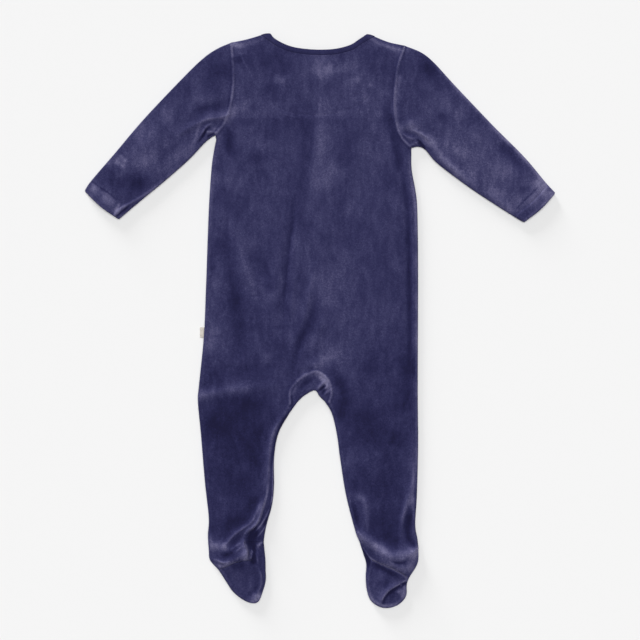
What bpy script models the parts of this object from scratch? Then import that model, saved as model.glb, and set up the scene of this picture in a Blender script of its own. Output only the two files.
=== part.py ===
"""A baby's footed sleepsuit in cotton velour, laid flat on its front with its back up.

X runs across the garment, +Y towards the head and +Z up from the surface it lies on. The origin
is on that surface, in the middle of the garment's own box. Sizes in the tables are millimetres,
and point() turns every finished point into metres.

The front pieces, foot uppers and gusset lie on the surface and roll round the garment's edges to
seams on its upper side, where the back and the soles meet them. Each piece is a sheet of pairs:
a point on the outer face of the cloth and the one behind it on the inner face.
"""

import math
from collections import namedtuple

import bmesh
import bpy
from mathutils import Vector

MM = 0.001  # one millimetre, in metres

# The cloth
CLOTH = 1.8  # thickness of the velour
FOLD_RADIUS = 2.3  # outside radius of an edge where the cloth turns over
EDGE = 2 * FOLD_RADIUS  # height of the two layers at such an edge
SEAM_GAP = 0.3  # between two pieces at a seam
LOFT = 1.8  # how far the upper layer stands above EDGE, away from the edges
LOFT_REACH = 18.0  # distance from an edge over which it gets there
LOWEST = 4.3  # the upper layer's outer face is never lower than this
HOLLOW = 3.7  # the layers are never further apart: cloth bunches up under a higher fold

# How finely the pieces are divided
SHOULDER_COLUMNS = 4
NECK_COLUMNS = 6
COLUMNS = SHOULDER_COLUMNS + NECK_COLUMNS  # across half the body, or one leg
ARMHOLE_ROWS = 9
BODY_ROWS = 17
GUSSET_ROWS = 5
LEG_ROWS = 12
SLEEVE_ROWS = 12
SLEEVE_CAP_ROWS = 4  # rows over which a sleeve's rings straighten, from the armhole
FOOT_STEPS = 2  # between two rows of a foot table
FOOT_RINGS = 3  # from a foot's edge to its middle line
ROLL_STEPS = 4  # round a turned edge
WRAP_STEPS = 2  # from the turned edge to the seam on the upper side
CURVE_STEPS = 12  # between two given points of a smooth curve, before it is evened out

# Neck, closure, cuffs and label
BINDING_WIDTH = 6.5
BINDING_THICK = 2.4
BINDING_ROLL = 2.7  # outside radius where the binding turns over at the neck points
TIP_TAPER = 0.45  # how far it reaches over the fold at the shoulder, as a share of that radius
BINDING_PROUD = 0.4  # how far the binding stands above the cloth that it edges
CUFF_HEM = 13.0  # depth of the turned-up hem
HEM_RISE = 0.5  # how much the doubled hem stands proud
PLACKET_WIDTH = 28.0
PLACKET_OVERLAP = 8.0  # how far the strip reaches past the line where the fronts meet
PLACKET_TOP = 274.0
PLACKET_END = -48.0
PLACKET_ROWS = 8
STUD_RADIUS = 4.6
STUD_HEIGHT = 1.6
STUD_RECESS = 0.2  # from the cloth's outer face to the cap's rim
STUD_COUNT = 7
STUD_SIDES = 12
STUD_INSET = 10.0  # from the front edge to the middle of a stud
STUD_END = 12.0  # from the ends of the strip to the first and last stud
LABEL_LENGTH = 12.5
LABEL_REACH = 4.4
LABEL_THICK = 1.2
LABEL_TOP = -8.8  # y of its upper end

# Side edges of the body: height on the garment, the edge's x, and how far in the seam lies.
Side = namedtuple("Side", "y edge seam")
SIDE_LEFT = (
    Side(216, -124.4, 2.8),
    Side(200, -127.6, 3.0),
    Side(180, -130.2, 3.2),
    Side(130, -133.4, 3.5),
    Side(36, -136.8, 3.5),
    Side(-21, -139.4, 3.5),
    Side(-79, -145.2, 3.5),
    Side(-98, -146.4, 3.5),
    Side(-137, -142.8, 3.5),
    Side(-194, -138.0, 3.5),
    Side(-237, -133.4, 3.0),
    Side(-258, -134.4, 2.8),
    Side(-276, -133.4, 2.6),
)
SIDE_RIGHT = (
    Side(204, 109.4, 2.8),
    Side(180, 110.0, 4.0),
    Side(152, 115.0, 5.5),
    Side(128, 116.8, 6.0),
    Side(60, 117.6, 6.0),
    Side(-80, 117.2, 6.0),
    Side(-150, 117.6, 6.0),
    Side(-209, 116.2, 5.0),
    Side(-245, 114.2, 4.0),
    Side(-262, 116.8, 3.0),
    Side(-273, 118.0, 2.6),
)
INSEAM_LEFT = (
    Side(-99, -27.6, 8.4),
    Side(-115, -38.6, 5.0),
    Side(-137, -50.2, 6.0),
    Side(-165, -55.0, 5.3),
    Side(-200, -55.2, 7.2),
    Side(-222, -57.6, 9.5),
    Side(-243, -63.4, 11.5),
    Side(-254, -65.8, 17.0),
    Side(-266, -67.6, 23.5),
)
INSEAM_RIGHT = (
    Side(-98, 6.0, 5.0),
    Side(-112, 14.2, 3.5),
    Side(-137, 20.2, 3.0),
    Side(-165, 24.0, 3.0),
    Side(-209, 31.0, 3.0),
    Side(-252, 42.0, 3.0),
    Side(-266, 47.4, 2.8),
)
HIP_LEFT = (-55.0, -112.0)  # y of the side edge level with the gusset's top and its end
HIP_RIGHT = (-55.0, -112.0)

# Where the sleeve's fold meets the body's, at the shoulder and under the arm, and the armhole
# seam between the two, which starts and ends inside the folds.
SHOULDER_POINT_LEFT = (-106.4, 332.6)
SHOULDER_POINT_RIGHT = (101.2, 329.0)
UNDERARM_LEFT = (-125.4, 221.4)
UNDERARM_RIGHT = (109.8, 206.2)
ARMHOLE_LEFT = ((-106.2, 330.3), (-104.2, 305), (-104, 280), (-108, 254), (-115.2, 235),
                (-124.5, 223.5))
ARMHOLE_RIGHT = ((100.8, 326.7), (92.6, 300), (89.3, 262), (92, 234), (98, 218.5), (108, 208))
SHOULDER_LEFT = (SHOULDER_POINT_LEFT, (-88, 336.4), (-70.6, 341.6))
SHOULDER_RIGHT = (SHOULDER_POINT_RIGHT, (82, 333.2), (65.6, 339.8))
SHOULDER_SEAM_LEFT = 4.0  # from the shoulder's edge to its seam on the back
SHOULDER_SEAM_RIGHT = 6.0
BACK_NECK = ((-61.2, 343), (-50, 334.6), (-34, 327.7), (-14, 324.6), (4, 324), (22, 325.6),
             (38, 330.5), (48, 337.2), (56.4, 342.2))
FRONT_NECK = ((-61.2, 343), (-61, 326), (-52, 306), (-30, 292), (-1.5, 287), (27, 292),
              (48, 306), (56.4, 326), (56.4, 342.2))
GUSSET_SEAM = ((-36, -100), (-35.5, -84), (-24, -70), (-5, -61.5), (9, -70), (14, -85), (11, -98))
CROTCH_EDGE = ((-27.6, -99), (-19.2, -91), (-6.4, -84.5), (-0.5, -91.6), (6, -98))
CENTRE_UNDERARM = (-3.0, 214.0)  # the middle of the body level with the underarms

# Sleeves: a section from the outer fold, over, to the underarm fold, under.
Section = namedtuple("Section", "name over_x over_y under_x under_y")
SLEEVE_LEFT = (
    Section("armhole", *SHOULDER_POINT_LEFT, *UNDERARM_LEFT),
    Section("shoulder", -122.4, 325.6, -131.4, 218.0),
    Section("cap", -139.0, 314.5, -139.4, 211.0),
    Section("upper arm", -163.0, 291.6, -157.0, 192.4),
    Section("elbow", -211.0, 241.0, -187.0, 165.8),
    Section("forearm", -247.0, 198.6, -216.0, 142.0),
    Section("hem line", -274.0, 167.2, -233.6, 127.0),
    Section("cuff", -282.7, 154.2, -241.6, 120.2),
)
SLEEVE_RIGHT = (
    Section("armhole", *SHOULDER_POINT_RIGHT, *UNDERARM_RIGHT),
    Section("shoulder", 121.6, 320.6, 118.6, 207.6),
    Section("cap", 137.0, 308.2, 127.0, 203.2),
    Section("upper arm", 161.0, 282.0, 141.0, 187.4),
    Section("elbow", 208.0, 232.5, 177.0, 160.2),
    Section("forearm", 245.0, 195.4, 210.0, 138.2),
    Section("hem line", 271.0, 164.4, 235.0, 122.4),
    Section("cuff", 282.7, 151.8, 245.0, 116.6),
)

# Feet: stations round the foot from the ankle on the side seam, by the toe, to the ankle on the
# inside leg, with the foot's edge and the seam on its upper side.
Station = namedtuple("Station", "name edge_x edge_y seam_x seam_y")
FOOT_LEFT = (
    Station("ankle, outside", -133.4, -276.0, -130.8, -276.0),
    Station("heel side", -131.8, -288.0, -129.2, -286.8),
    Station("heel, outside", -121.0, -300.6, -119.2, -298.2),
    Station("ball, outside", -112.0, -314.6, -109.6, -313.0),
    Station("toes, outside", -104.4, -325.6, -102.4, -323.6),
    Station("little toe", -93.0, -335.0, -91.6, -332.4),
    Station("tip", -81.4, -339.6, -82.0, -336.8),
    Station("tip, inside", -73.4, -337.0, -76.4, -334.2),
    Station("toes, inside", -68.2, -324.4, -73.2, -323.2),
    Station("ball, inside", -65.0, -312.0, -70.2, -312.4),
    Station("arch", -65.2, -300.0, -73.6, -300.4),
    Station("heel, inside", -65.4, -288.0, -80.6, -288.4),
    Station("heel fold", -66.4, -277.0, -86.4, -277.4),
    Station("ankle, inside", -67.6, -266.0, -91.1, -266.0),
)
FOOT_RIGHT = (
    Station("ankle, outside", 118.0, -273.0, 115.4, -273.0),
    Station("heel side", 117.0, -291.6, 114.2, -290.2),
    Station("heel, outside", 106.6, -309.4, 104.0, -307.6),
    Station("ball, outside", 104.0, -318.0, 101.2, -318.0),
    Station("toes, outside", 103.4, -330.0, 100.7, -329.0),
    Station("little toe", 96.6, -339.4, 95.0, -336.8),
    Station("tip, outside", 85.0, -344.9, 84.6, -341.8),
    Station("tip, inside", 72.0, -344.2, 73.0, -341.2),
    Station("big toe", 60.6, -336.0, 62.8, -334.0),
    Station("toes, inside", 56.0, -323.0, 58.8, -322.4),
    Station("ball, inside", 54.8, -308.0, 57.8, -308.0),
    Station("heel, inside", 55.4, -292.4, 62.3, -287.6),
    Station("heel fold", 51.8, -280.0, 54.4, -278.2),
    Station("ankle, inside", 47.4, -266.0, 50.2, -266.0),
)
# Where the heel of the back is sewn to the sole, from the outside of the foot to the inside.
HEEL_SEAM_LEFT = ((-119.2, -298.2), (-110.4, -294.6), (-100, -290), (-90.5, -288), (-80.6, -288.4))
HEEL_SEAM_RIGHT = ((104, -307.6), (96.6, -302.6), (84, -296.6), (72.5, -292), (62.3, -287.6))
HEEL_RISE = 2.4  # how far the heel's spare cloth stands up
HEEL_STEEP = 4.0  # distance from the heel seam in which it rises
HEEL_LENGTH = 26.0  # distance over which it falls again, up the leg

# Soft folds of the upper layer: three points along the fold, then its height, or its depth where
# that is negative, and half its width.
Fold = namedtuple("Fold", "name x0 y0 x1 y1 x2 y2 height width")
FOLDS = (
    Fold("over the placket", -1, 270, -3, 110, -6, -45, 0.8, 20),
    Fold("long crease", -22, 150, -36, 60, -44, -10, -1.0, 7),
    Fold("crease to the crotch", -4, 20, -24, -30, -36, -85, -1.0, 7),
    Fold("ridge beside it", -14, 30, -30, -20, -50, -90, 0.9, 8),
    Fold("left hollow", -110, 100, -104, 20, -92, -40, -1.2, 15),
    Fold("right hollow", 96, 200, 106, 100, 108, -110, -1.0, 6),
    Fold("left hip ridge", -140, -86, -90, -82, -50, -76, 1.2, 8),
    Fold("left hip hollow", -140, -62, -100, -60, -60, -60, -0.7, 10),
    Fold("left underarm ridge", -118, 242, -142, 233, -168, 214, 1.8, 6),
    Fold("left underarm hollow", -130, 228, -138, 222, -145, 212, -1.2, 5),
    Fold("right underarm ridge", 98, 236, 122, 220, 144, 190, 2.0, 6),
    Fold("right underarm hollow", 104, 224, 112, 217, 120, 209, -1.0, 4),
    Fold("left shin hollow", -104, -150, -100, -190, -96, -236, -0.9, 14),
    Fold("left calf ridge", -62, -215, -78, -246, -112, -272, 1.6, 7),
    Fold("left ankle hollow", -72, -262, -78, -268, -80, -280, -1.2, 6),
    Fold("right calf ridge", 50, -240, 66, -268, 92, -282, 1.6, 8),
    Fold("right ankle crease", 112, -212, 104, -240, 106, -262, -1.0, 5),
    Fold("right sole fold", 100, -312, 86, -322, 75, -337, 1.6, 4),
)

VELOUR = ("velour", (0.040, 0.039, 0.100), 0.95)
BINDING = ("binding", (0.026, 0.026, 0.074), 0.9)
TAPE = ("placket tape", (0.030, 0.029, 0.080), 0.9)
STUD = ("stud", (0.045, 0.045, 0.110), 0.35)
LABEL = ("label", (0.80, 0.77, 0.71), 0.85)


# --- curves -------------------------------------------------------------------------------------


def smooth(knots, steps):
    """Points on a smooth curve through the knots, steps of them from each knot to the next."""
    knots = [Vector(p) for p in knots]
    knots = [2 * knots[0] - knots[1], *knots, 2 * knots[-1] - knots[-2]]
    found = []
    for a, b, c, d in zip(knots, knots[1:], knots[2:], knots[3:]):
        for t in (i / steps for i in range(steps)):
            found.append(0.5 * (2 * b + (c - a) * t + (2 * a - 5 * b + 4 * c - d) * t**2
                                + (3 * b - a - 3 * c + d) * t**3))
    found.append(knots[-2])
    return found


def spread(line, steps):
    """steps + 1 points, evenly spaced along a polyline."""
    lengths = [0.0]
    for a, b in zip(line, line[1:]):
        lengths.append(lengths[-1] + (b - a).length)
    found, i = [], 0
    for k in range(steps + 1):
        wanted = lengths[-1] * k / steps
        while i < len(line) - 2 and lengths[i + 1] < wanted:
            i += 1
        found.append(line[i].lerp(line[i + 1], (wanted - lengths[i]) / (lengths[i + 1] - lengths[i])))
    return found


def curve(points, steps):
    """steps + 1 points, evenly spaced along a smooth curve through the given points."""
    return spread(smooth(points, CURVE_STEPS), steps)


def side_at(rows, y):
    """[edge, seam] of a side table at height y, on a smooth curve through its rows."""
    last = len(rows) - 2
    i = min(max(sum(row.y > y for row in rows) - 1, 0), last)
    before, a, b, after = rows[max(i - 1, 0)], rows[i], rows[i + 1], rows[min(i + 2, last + 1)]
    span = b.y - a.y
    t = (y - a.y) / span
    found = []
    for p, q, r, s in zip(before[1:], a[1:], b[1:], after[1:]):
        start, end = (r - p) / (b.y - before.y) * span, (s - q) / (after.y - a.y) * span
        found.append((2 * t**3 - 3 * t**2 + 1) * q + (t**3 - 2 * t**2 + t) * start
                     + (3 * t**2 - 2 * t**3) * r + (t**3 - t**2) * end)
    return found


def levels(start, end, steps):
    return [start + (end - start) * i / steps for i in range(steps + 1)]


def across(start, end, steps=COLUMNS):
    return [start.lerp(end, i / steps) for i in range(steps + 1)]


def shifted(line, distance):
    """A polyline moved to the left of its direction."""
    found = []
    for i, place in enumerate(line):
        along = line[min(i + 1, len(line) - 1)] - line[max(i - 1, 0)]
        found.append(place + Vector((-along.y, along.x)).normalized() * distance)
    return found


# --- how the cloth lies -------------------------------------------------------------------------


def point(place, z):
    """A point in metres from a place on the plan and a height, both in millimetres."""
    return Vector((place.x * MM, place.y * MM, z * MM))


def under(place):
    """The pair of points of the lower layer at a place."""
    return point(place, 0.0), point(place, CLOTH)


def off_segment(place, a, b):
    """(distance of a place from a segment, share of the segment at the nearest point)."""
    along = b - a
    share = min(max((place - a).dot(along) / max(along.length_squared, 1e-9), 0.0), 1.0)
    return (place - a - along * share).length, share


def flat_side(edge, seam):
    """Where the cloth starts to turn up, on its way round an edge to a seam over it."""
    return edge + (seam - edge).normalized() * FOLD_RADIUS


class Lie:
    """The edges of the laid garment, and the lie of its upper layer inside them."""

    def __init__(self):
        self.segments = []

    def add_edge(self, line):
        self.segments += list(zip(line, line[1:]))

    def height(self, place):
        """Height of the upper layer's outer face over the surface, in millimetres."""
        edge = min(off_segment(place, a, b)[0] for a, b in self.segments)
        height = EDGE + LOFT * (1 - math.exp(-edge / LOFT_REACH))
        inside = min(1.0, edge / EDGE)
        height += inside * sum(self.fold_height(fold, place) for fold in FOLDS)
        return max(height, LOWEST)

    @staticmethod
    def fold_height(fold, place):
        knots = [Vector((fold.x0, fold.y0)), Vector((fold.x1, fold.y1)), Vector((fold.x2, fold.y2))]
        offs = [off_segment(place, a, b) for a, b in zip(knots, knots[1:])]
        near, along = min((off, i + share) for i, (off, share) in enumerate(offs))
        ends = math.sin(math.pi * (0.08 + 0.42 * along))
        return fold.height * math.exp(-((near / fold.width) ** 2)) * ends

    def over(self, place, lift=0.0):
        """The pair of points of the upper layer at a place."""
        height = self.height(place) + lift
        return point(place, height), point(place, self.inner(height))

    @staticmethod
    def inner(height):
        return min(height - CLOTH, CLOTH + HOLLOW)

    def turn(self, lower, upper, edge, lift=0.0):
        """Pairs round a turned edge, from lower on the lower layer to upper on the upper one."""
        height = self.height(upper) + lift
        found = []
        for angle in levels(0, math.pi, ROLL_STEPS):
            share = (1 - math.cos(angle)) / 2
            middle = lower.lerp(upper, share)
            reach = (edge - middle) * math.sin(angle)
            hidden = reach * (1 - CLOTH / (edge - middle).length)
            found.append((point(middle + reach, height * share),
                          point(middle + hidden, CLOTH + (self.inner(height) - CLOTH) * share)))
        return found

    def wrap(self, edge, seam, lower=None, gap=SEAM_GAP / 2):
        """Pairs from the lower layer, round an edge, to just short of the seam over it."""
        upper = flat_side(edge, seam)
        end = seam - (seam - edge).normalized() * gap
        turned = self.turn(lower or upper, upper, edge)
        return turned + [self.over(p) for p in across(upper, end, WRAP_STEPS)[1:]]


# --- meshes -------------------------------------------------------------------------------------


def material_of(finish):
    name, colour, roughness = finish
    found = bpy.data.materials.get(name)
    if found is None:
        found = bpy.data.materials.new(name)
        found.use_nodes = True
        shader = found.node_tree.nodes["Principled BSDF"]
        shader.inputs["Base Color"].default_value = (*colour, 1.0)
        shader.inputs["Roughness"].default_value = roughness
        shader.inputs["Metallic"].default_value = 0.0
    return found


def object_of(name, made, finish):
    mesh = bpy.data.meshes.new(name)
    made.to_mesh(mesh)
    made.free()
    mesh.materials.append(material_of(finish))
    mesh.shade_smooth()
    found = bpy.data.objects.new(name, mesh)
    bpy.context.scene.collection.objects.link(found)
    return found


class Sheet:
    """Cloth with an outer face, an inner face and a rim, made from rows of point pairs."""

    def __init__(self):
        self.made = bmesh.new()
        self.corners = {}

    def corner(self, pair):
        key = tuple(round(c, 7) for c in pair[0])
        if key not in self.corners:
            self.corners[key] = tuple(self.made.verts.new(place) for place in pair)
        return self.corners[key]

    def grid(self, rows):
        """Fills the outer quads between rows. A quad whose corners meet becomes a triangle."""
        for upper, lower in zip(rows, rows[1:]):
            for quad in zip(upper, upper[1:], lower[1:], lower):
                face = []
                for outer, _ in map(self.corner, quad):
                    if outer not in face:
                        face.append(outer)
                if len(face) > 2:
                    self.made.faces.new(face)

    def fill(self, pairs):
        """Fills a flat outline with one face."""
        self.made.faces.new([self.corner(pair)[0] for pair in pairs])

    def finish(self, name, finish):
        """Adds the inner face and the rim, and makes the object."""
        behind = dict(self.corners.values())
        outer = list(self.made.faces)
        open_edges = [edge for edge in self.made.edges if edge.is_boundary]
        for face in outer:
            self.made.faces.new([behind[v] for v in reversed(face.verts)])
        for a, b in (edge.verts for edge in open_edges):
            self.made.faces.new([b, a, behind[a], behind[b]])
        bmesh.ops.recalc_face_normals(self.made, faces=self.made.faces)
        return object_of(name, self.made, finish)


def closed_strip(name, rings, finish):
    """A solid strip through rings of points, closed at both ends."""
    made = bmesh.new()
    loops = [[made.verts.new(place) for place in ring] for ring in rings]
    for upper, lower in zip(loops, loops[1:]):
        for i in range(len(upper)):
            made.faces.new([upper[i - 1], upper[i], lower[i], lower[i - 1]])
    made.faces.new(loops[0])
    made.faces.new(loops[-1])
    bmesh.ops.recalc_face_normals(made, faces=made.faces)
    return object_of(name, made, finish)


# --- the pattern --------------------------------------------------------------------------------


class Half:
    """One side of the body with its leg and foot, as the lines that its pieces are cut to.

    Rows run from the shoulder to the heel. side is -1 for the side at -X and 1 for the other.
    """

    def __init__(self, side):
        self.side = side
        left = side < 0
        self.side_rows = SIDE_LEFT if left else SIDE_RIGHT
        self.inseam_rows = INSEAM_LEFT if left else INSEAM_RIGHT
        self.sleeve_rows = SLEEVE_LEFT if left else SLEEVE_RIGHT
        self.hip = HIP_LEFT if left else HIP_RIGHT
        self.underarm = Vector(UNDERARM_LEFT if left else UNDERARM_RIGHT)
        self.armhole = curve(ARMHOLE_LEFT if left else ARMHOLE_RIGHT, ARMHOLE_ROWS)
        self.heel_seam = curve(HEEL_SEAM_LEFT if left else HEEL_SEAM_RIGHT, COLUMNS)
        gusset = curve(GUSSET_SEAM, 2 * GUSSET_ROWS)
        self.gusset = self.half_of(gusset)
        self.gusset_outside = self.half_of(shifted(gusset, SEAM_GAP))
        foot = smooth([row[1:] for row in (FOOT_LEFT if left else FOOT_RIGHT)], FOOT_STEPS)
        self.foot = [(Vector(row[:2]), Vector(row[2:])) for row in foot]
        self.heel_rows = 2 * FOOT_STEPS  # rows of the foot from the ankle to the heel seam
        self.shoulder = self.shoulder_line()

    def half_of(self, line):
        """The half of a line across the garment that is on this side, from the middle out."""
        middle = len(line) // 2
        return line[middle::-1] if self.side < 0 else line[middle:]

    def neck(self, points, depth=0.0):
        """A neck's edge, or a line that far inside it, from the neck point to the centre."""
        return self.half_of(shifted(curve(points, 2 * NECK_COLUMNS), -depth))[::-1]

    def neck_seam(self, points, gap=0.0):
        """Where the binding meets the cloth, from the shoulder's fold to the centre."""
        line = self.neck(points, BINDING_WIDTH + gap)
        left = self.side < 0
        shoulder_end = Vector((SHOULDER_LEFT if left else SHOULDER_RIGHT)[-1])
        tip = Vector(points[0 if left else -1])
        line[0] = shoulder_end + (tip - shoulder_end).normalized() * 2 * (SEAM_GAP - gap)
        return line

    def shoulder_line(self):
        """(edge, seam) points of the shoulder from the armhole to the neck."""
        left = self.side < 0
        edges = curve(SHOULDER_LEFT if left else SHOULDER_RIGHT, SHOULDER_COLUMNS)
        depth = SHOULDER_SEAM_LEFT if left else SHOULDER_SEAM_RIGHT
        seams = shifted(edges, self.side * depth)
        fold = self.armhole[0]
        seams[0] = fold + (self.armhole[1] - fold).normalized() * (depth - FOLD_RADIUS)
        sewn = self.neck_seam(BACK_NECK, SEAM_GAP)
        seams[-1] = sewn[0] + (sewn[1] - sewn[0]).normalized() * depth
        return list(zip(edges, seams))

    def sides(self):
        """(edge, seam) points of the side from the underarm to the ankle."""
        y = levels(self.side_rows[0].y, self.hip[0], BODY_ROWS - 1)
        y += levels(*self.hip, GUSSET_ROWS)[1:]
        y += levels(self.hip[1], self.side_rows[-1].y, LEG_ROWS + 1)[1:]
        rows = [self.edge_and_seam(self.side_rows, value, -self.side) for value in y]
        return [(self.underarm, self.armhole[-1]), *rows]

    def inseams(self):
        """(edge, seam) points of the inside leg from the gusset's end to the ankle."""
        y = levels(self.inseam_rows[0].y, self.inseam_rows[-1].y, LEG_ROWS)
        rows = [self.edge_and_seam(self.inseam_rows, value, self.side) for value in y]
        return [(rows[0][0], self.gusset[-1]), *rows[1:]]

    @staticmethod
    def edge_and_seam(rows, y, inwards):
        edge, seam = side_at(rows, y)
        return Vector((edge, y)), Vector((edge + inwards * seam, y))

    def centre(self, neck):
        """Points down the middle of the body from the neck to the gusset, one for each row."""
        underarm = Vector(CENTRE_UNDERARM)
        gusset = self.gusset_outside[0]
        return across(neck, underarm, ARMHOLE_ROWS) + across(underarm, gusset, BODY_ROWS)[1:]


def ruled(outer, inner, first, first_fade, last, last_fade):
    """Rows of points from an outer line to an inner one, bent at the ends to given rows."""
    rows = [across(a, b) for a, b in zip(outer, inner)]
    for given, fade, order in ((first, first_fade, 1), (last, last_fade, -1)):
        bend = [p - q for p, q in zip(given, rows[::order][0])]
        for step in range(fade):
            i = step if order > 0 else len(rows) - 1 - step
            share = (1 - step / fade) ** 1.5
            rows[i] = [p + b * share for p, b in zip(rows[i], bend)]
    return rows


def lie_of(halves):
    lie = Lie()
    for half in halves:
        sleeve = smooth([row[1:] for row in half.sleeve_rows], 2)
        lie.add_edge([Vector(row[:2]) for row in sleeve])
        lie.add_edge([Vector(row[2:]) for row in sleeve])
        lie.add_edge([edge for edge, _ in half.shoulder])
        lie.add_edge(half.neck(BACK_NECK))
        for sections in (half.sides(), half.inseams(), half.foot):
            lie.add_edge([edge for edge, _ in sections])
    lie.add_edge([Vector(p) for p in CROTCH_EDGE])
    return lie


# --- the pieces ---------------------------------------------------------------------------------


def heel_lift(half, place):
    """How far the heel's spare cloth stands above the rest of the upper layer."""
    line = half.heel_seam
    off = min(off_segment(place, a, b)[0] for a, b in zip(line, line[1:]))
    edges = [edge for edge, _ in half.foot] + [edge for edge, _ in half.sides()[-LEG_ROWS // 2:]]
    inside = min((place - edge).length for edge in edges) / (2 * EDGE)
    rise = math.sqrt(1 - (1 - min(off / HEEL_STEEP, 1.0)) ** 2)
    return HEEL_RISE * rise * math.exp(-((off / HEEL_LENGTH) ** 2)) * min(inside, 1.0)


def make_back(halves, lie):
    """The back of the body and both legs in one piece, down to the heels."""
    sheet = Sheet()
    for half in halves:
        gap = Vector((-half.side * SEAM_GAP / 2, 0))
        down = Vector((0, -SEAM_GAP / 2))
        shoulder = [seam + down for _, seam in half.shoulder]
        neck = half.neck_seam(BACK_NECK, SEAM_GAP)
        top = shoulder + neck[1:]
        inseams = [seam - gap for _, seam in half.inseams()]
        inseams[0] = half.gusset_outside[-1].lerp(inseams[1], 0.5)
        heel = range(1, half.heel_rows + 1)
        outer = [shoulder[0], *half.armhole[1:], *(seam + gap for _, seam in half.sides()[1:])]
        outer += [half.foot[i][1] + gap for i in heel]
        inner = half.centre(top[-1]) + half.gusset_outside[1:] + inseams
        inner += [half.foot[-1 - i][1] - gap for i in heel]
        end = [p - down for p in half.heel_seam]
        rows = ruled(outer, inner, top, ARMHOLE_ROWS, end, half.heel_rows)
        heel_start = len(rows) - half.heel_rows - LEG_ROWS // 2
        plain = [[lie.over(p) for p in row] for row in rows[:heel_start]]
        lifted = [[lie.over(p, heel_lift(half, p)) for p in row] for row in rows[heel_start:]]
        sheet.grid(plain + lifted)
    return sheet.finish("back", VELOUR)


def make_front(half, lie):
    """One front with its leg, from the shoulder to the ankle, rolled round the edges."""
    sheet = Sheet()
    gap = Vector((half.side * SEAM_GAP / 2, 0))
    sides, inseams = half.sides(), half.inseams()
    below = Vector((0, -SEAM_GAP))
    inseams[0] = inseams[0][0] + below, inseams[0][1] + below
    neck = half.neck_seam(FRONT_NECK, SEAM_GAP)
    shoulder = [flat_side(*section) for section in half.shoulder]
    shoulder[-1] = half.shoulder[-1][0] + (neck[1] - neck[0]).normalized() * FOLD_RADIUS
    centre = [p + gap for p in (neck[-1], Vector(CENTRE_UNDERARM), half.gusset_outside[0])]
    crotch = half.gusset_outside[1:-1] + [half.gusset_outside[-1] + below]
    inner = [*neck[1:-1], *centre, *crotch, *(flat_side(*section) for section in inseams)]
    outer = [*half.armhole[1:-1], *(flat_side(*section) for section in sides)]
    sheet.fill([under(p) for p in shoulder + inner + outer[::-1]])
    sheet.grid([lie.wrap(*section, lower) for section, lower in zip(half.shoulder, shoulder)])
    for sections in (sides, inseams):
        sheet.grid([lie.wrap(*section) for section in sections])
    return sheet.finish("front_left" if half.side < 0 else "front_right", VELOUR)


def make_gusset(halves, lie):
    """The curved piece let into the crotch, folded over its edge."""
    left, right = halves
    seam = left.gusset[:0:-1] + right.gusset
    edge = curve(CROTCH_EDGE, 2 * GUSSET_ROWS)
    sheet = Sheet()
    sheet.grid([[under(place), *lie.wrap(brink, place, gap=0.0)] for place, brink in zip(seam, edge)])
    return sheet.finish("gusset", VELOUR)


def make_sleeve(half, lie):
    """One sleeve: a flattened tube from the armhole to the cuff, with a turned-up hem."""
    away = Vector((half.side * SEAM_GAP, 0))
    sections = [(Vector(line[:2]), Vector(line[2:]))
                for line in curve([row[1:] for row in half.sleeve_rows], SLEEVE_ROWS)]
    cuff = sections[-1]
    rings = []
    for i, (over, under_arm) in enumerate(sections):
        down = (under_arm - over).normalized() * FOLD_RADIUS
        flat = across(over + down, under_arm - down, ARMHOLE_ROWS)
        if i == 0:
            over, under_arm = over + away, under_arm + away
            bend = [p + away - q for p, q in zip(half.armhole, flat)]
        share = max(1 - i / SLEEVE_CAP_ROWS, 0.0) ** 1.5
        flat = [p + b * share for p, b in zip(flat, bend)]
        hem = HEM_RISE if i == SLEEVE_ROWS or off_segment(flat[0], *cuff)[0] < CUFF_HEM else 0.0
        top = [lie.over(p, hem) for p in flat]
        bottom = [under(p) for p in reversed(flat)]
        near = lie.turn(flat[0], flat[0], over, hem)
        far = lie.turn(flat[-1], flat[-1], under_arm, hem)
        ring = top + far[-2:0:-1] + bottom + near[1:-1]
        rings.append([*ring, ring[0]])
    sheet = Sheet()
    sheet.grid(rings)
    return sheet.finish("sleeve_left" if half.side < 0 else "sleeve_right", VELOUR)


def to_middle(places):
    """Rows from each place of a U to its middle line, half way to the place opposite."""
    middles = [(a + b) / 2 for a, b in zip(places, places[::-1])]
    return [across(place, middle, FOOT_RINGS) for place, middle in zip(places, middles)]


def make_foot_upper(half, lie):
    """The top of the foot, which lies underneath, rolled round the foot's edge to the sole."""
    stations = list(half.foot)
    down = Vector((0, -SEAM_GAP))
    for end in (0, -1):
        edge, seam = stations[end]
        stations[end] = edge + down, seam + down
    flat = [flat_side(*section) for section in stations]
    sheet = Sheet()
    sheet.fill([under(p) for p in flat])
    sheet.grid([lie.wrap(*section) for section in stations])
    return sheet.finish("foot_upper_left" if half.side < 0 else "foot_upper_right", VELOUR)


def make_sole(half, lie):
    """The sole, which faces up between the heel seam and the toe."""
    seams = shifted([seam for _, seam in half.foot], -half.side * SEAM_GAP / 2)
    rows = to_middle(seams[half.heel_rows:-half.heel_rows])
    heel = spread([p + Vector((0, -SEAM_GAP)) for p in half.heel_seam], 2 * FOOT_RINGS)
    ends = heel[: FOOT_RINGS + 1], heel[: FOOT_RINGS - 1: -1]
    bends = [[p - q for p, q in zip(end, rows[i])] for i, end in zip((0, -1), ends)]
    for bend, order in zip(bends, (1, -1)):
        bend[0] = Vector((0, 0))  # the edge stays on the seam
        for step in range(half.heel_rows):
            i = step if order > 0 else len(rows) - 1 - step
            share = (1 - step / half.heel_rows) ** 1.5
            rows[i] = [p + b * share for p, b in zip(rows[i], bend)]
    sheet = Sheet()
    sheet.grid([[lie.over(p) for p in row] for row in rows])
    return sheet.finish("sole_left" if half.side < 0 else "sole_right", VELOUR)


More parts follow.
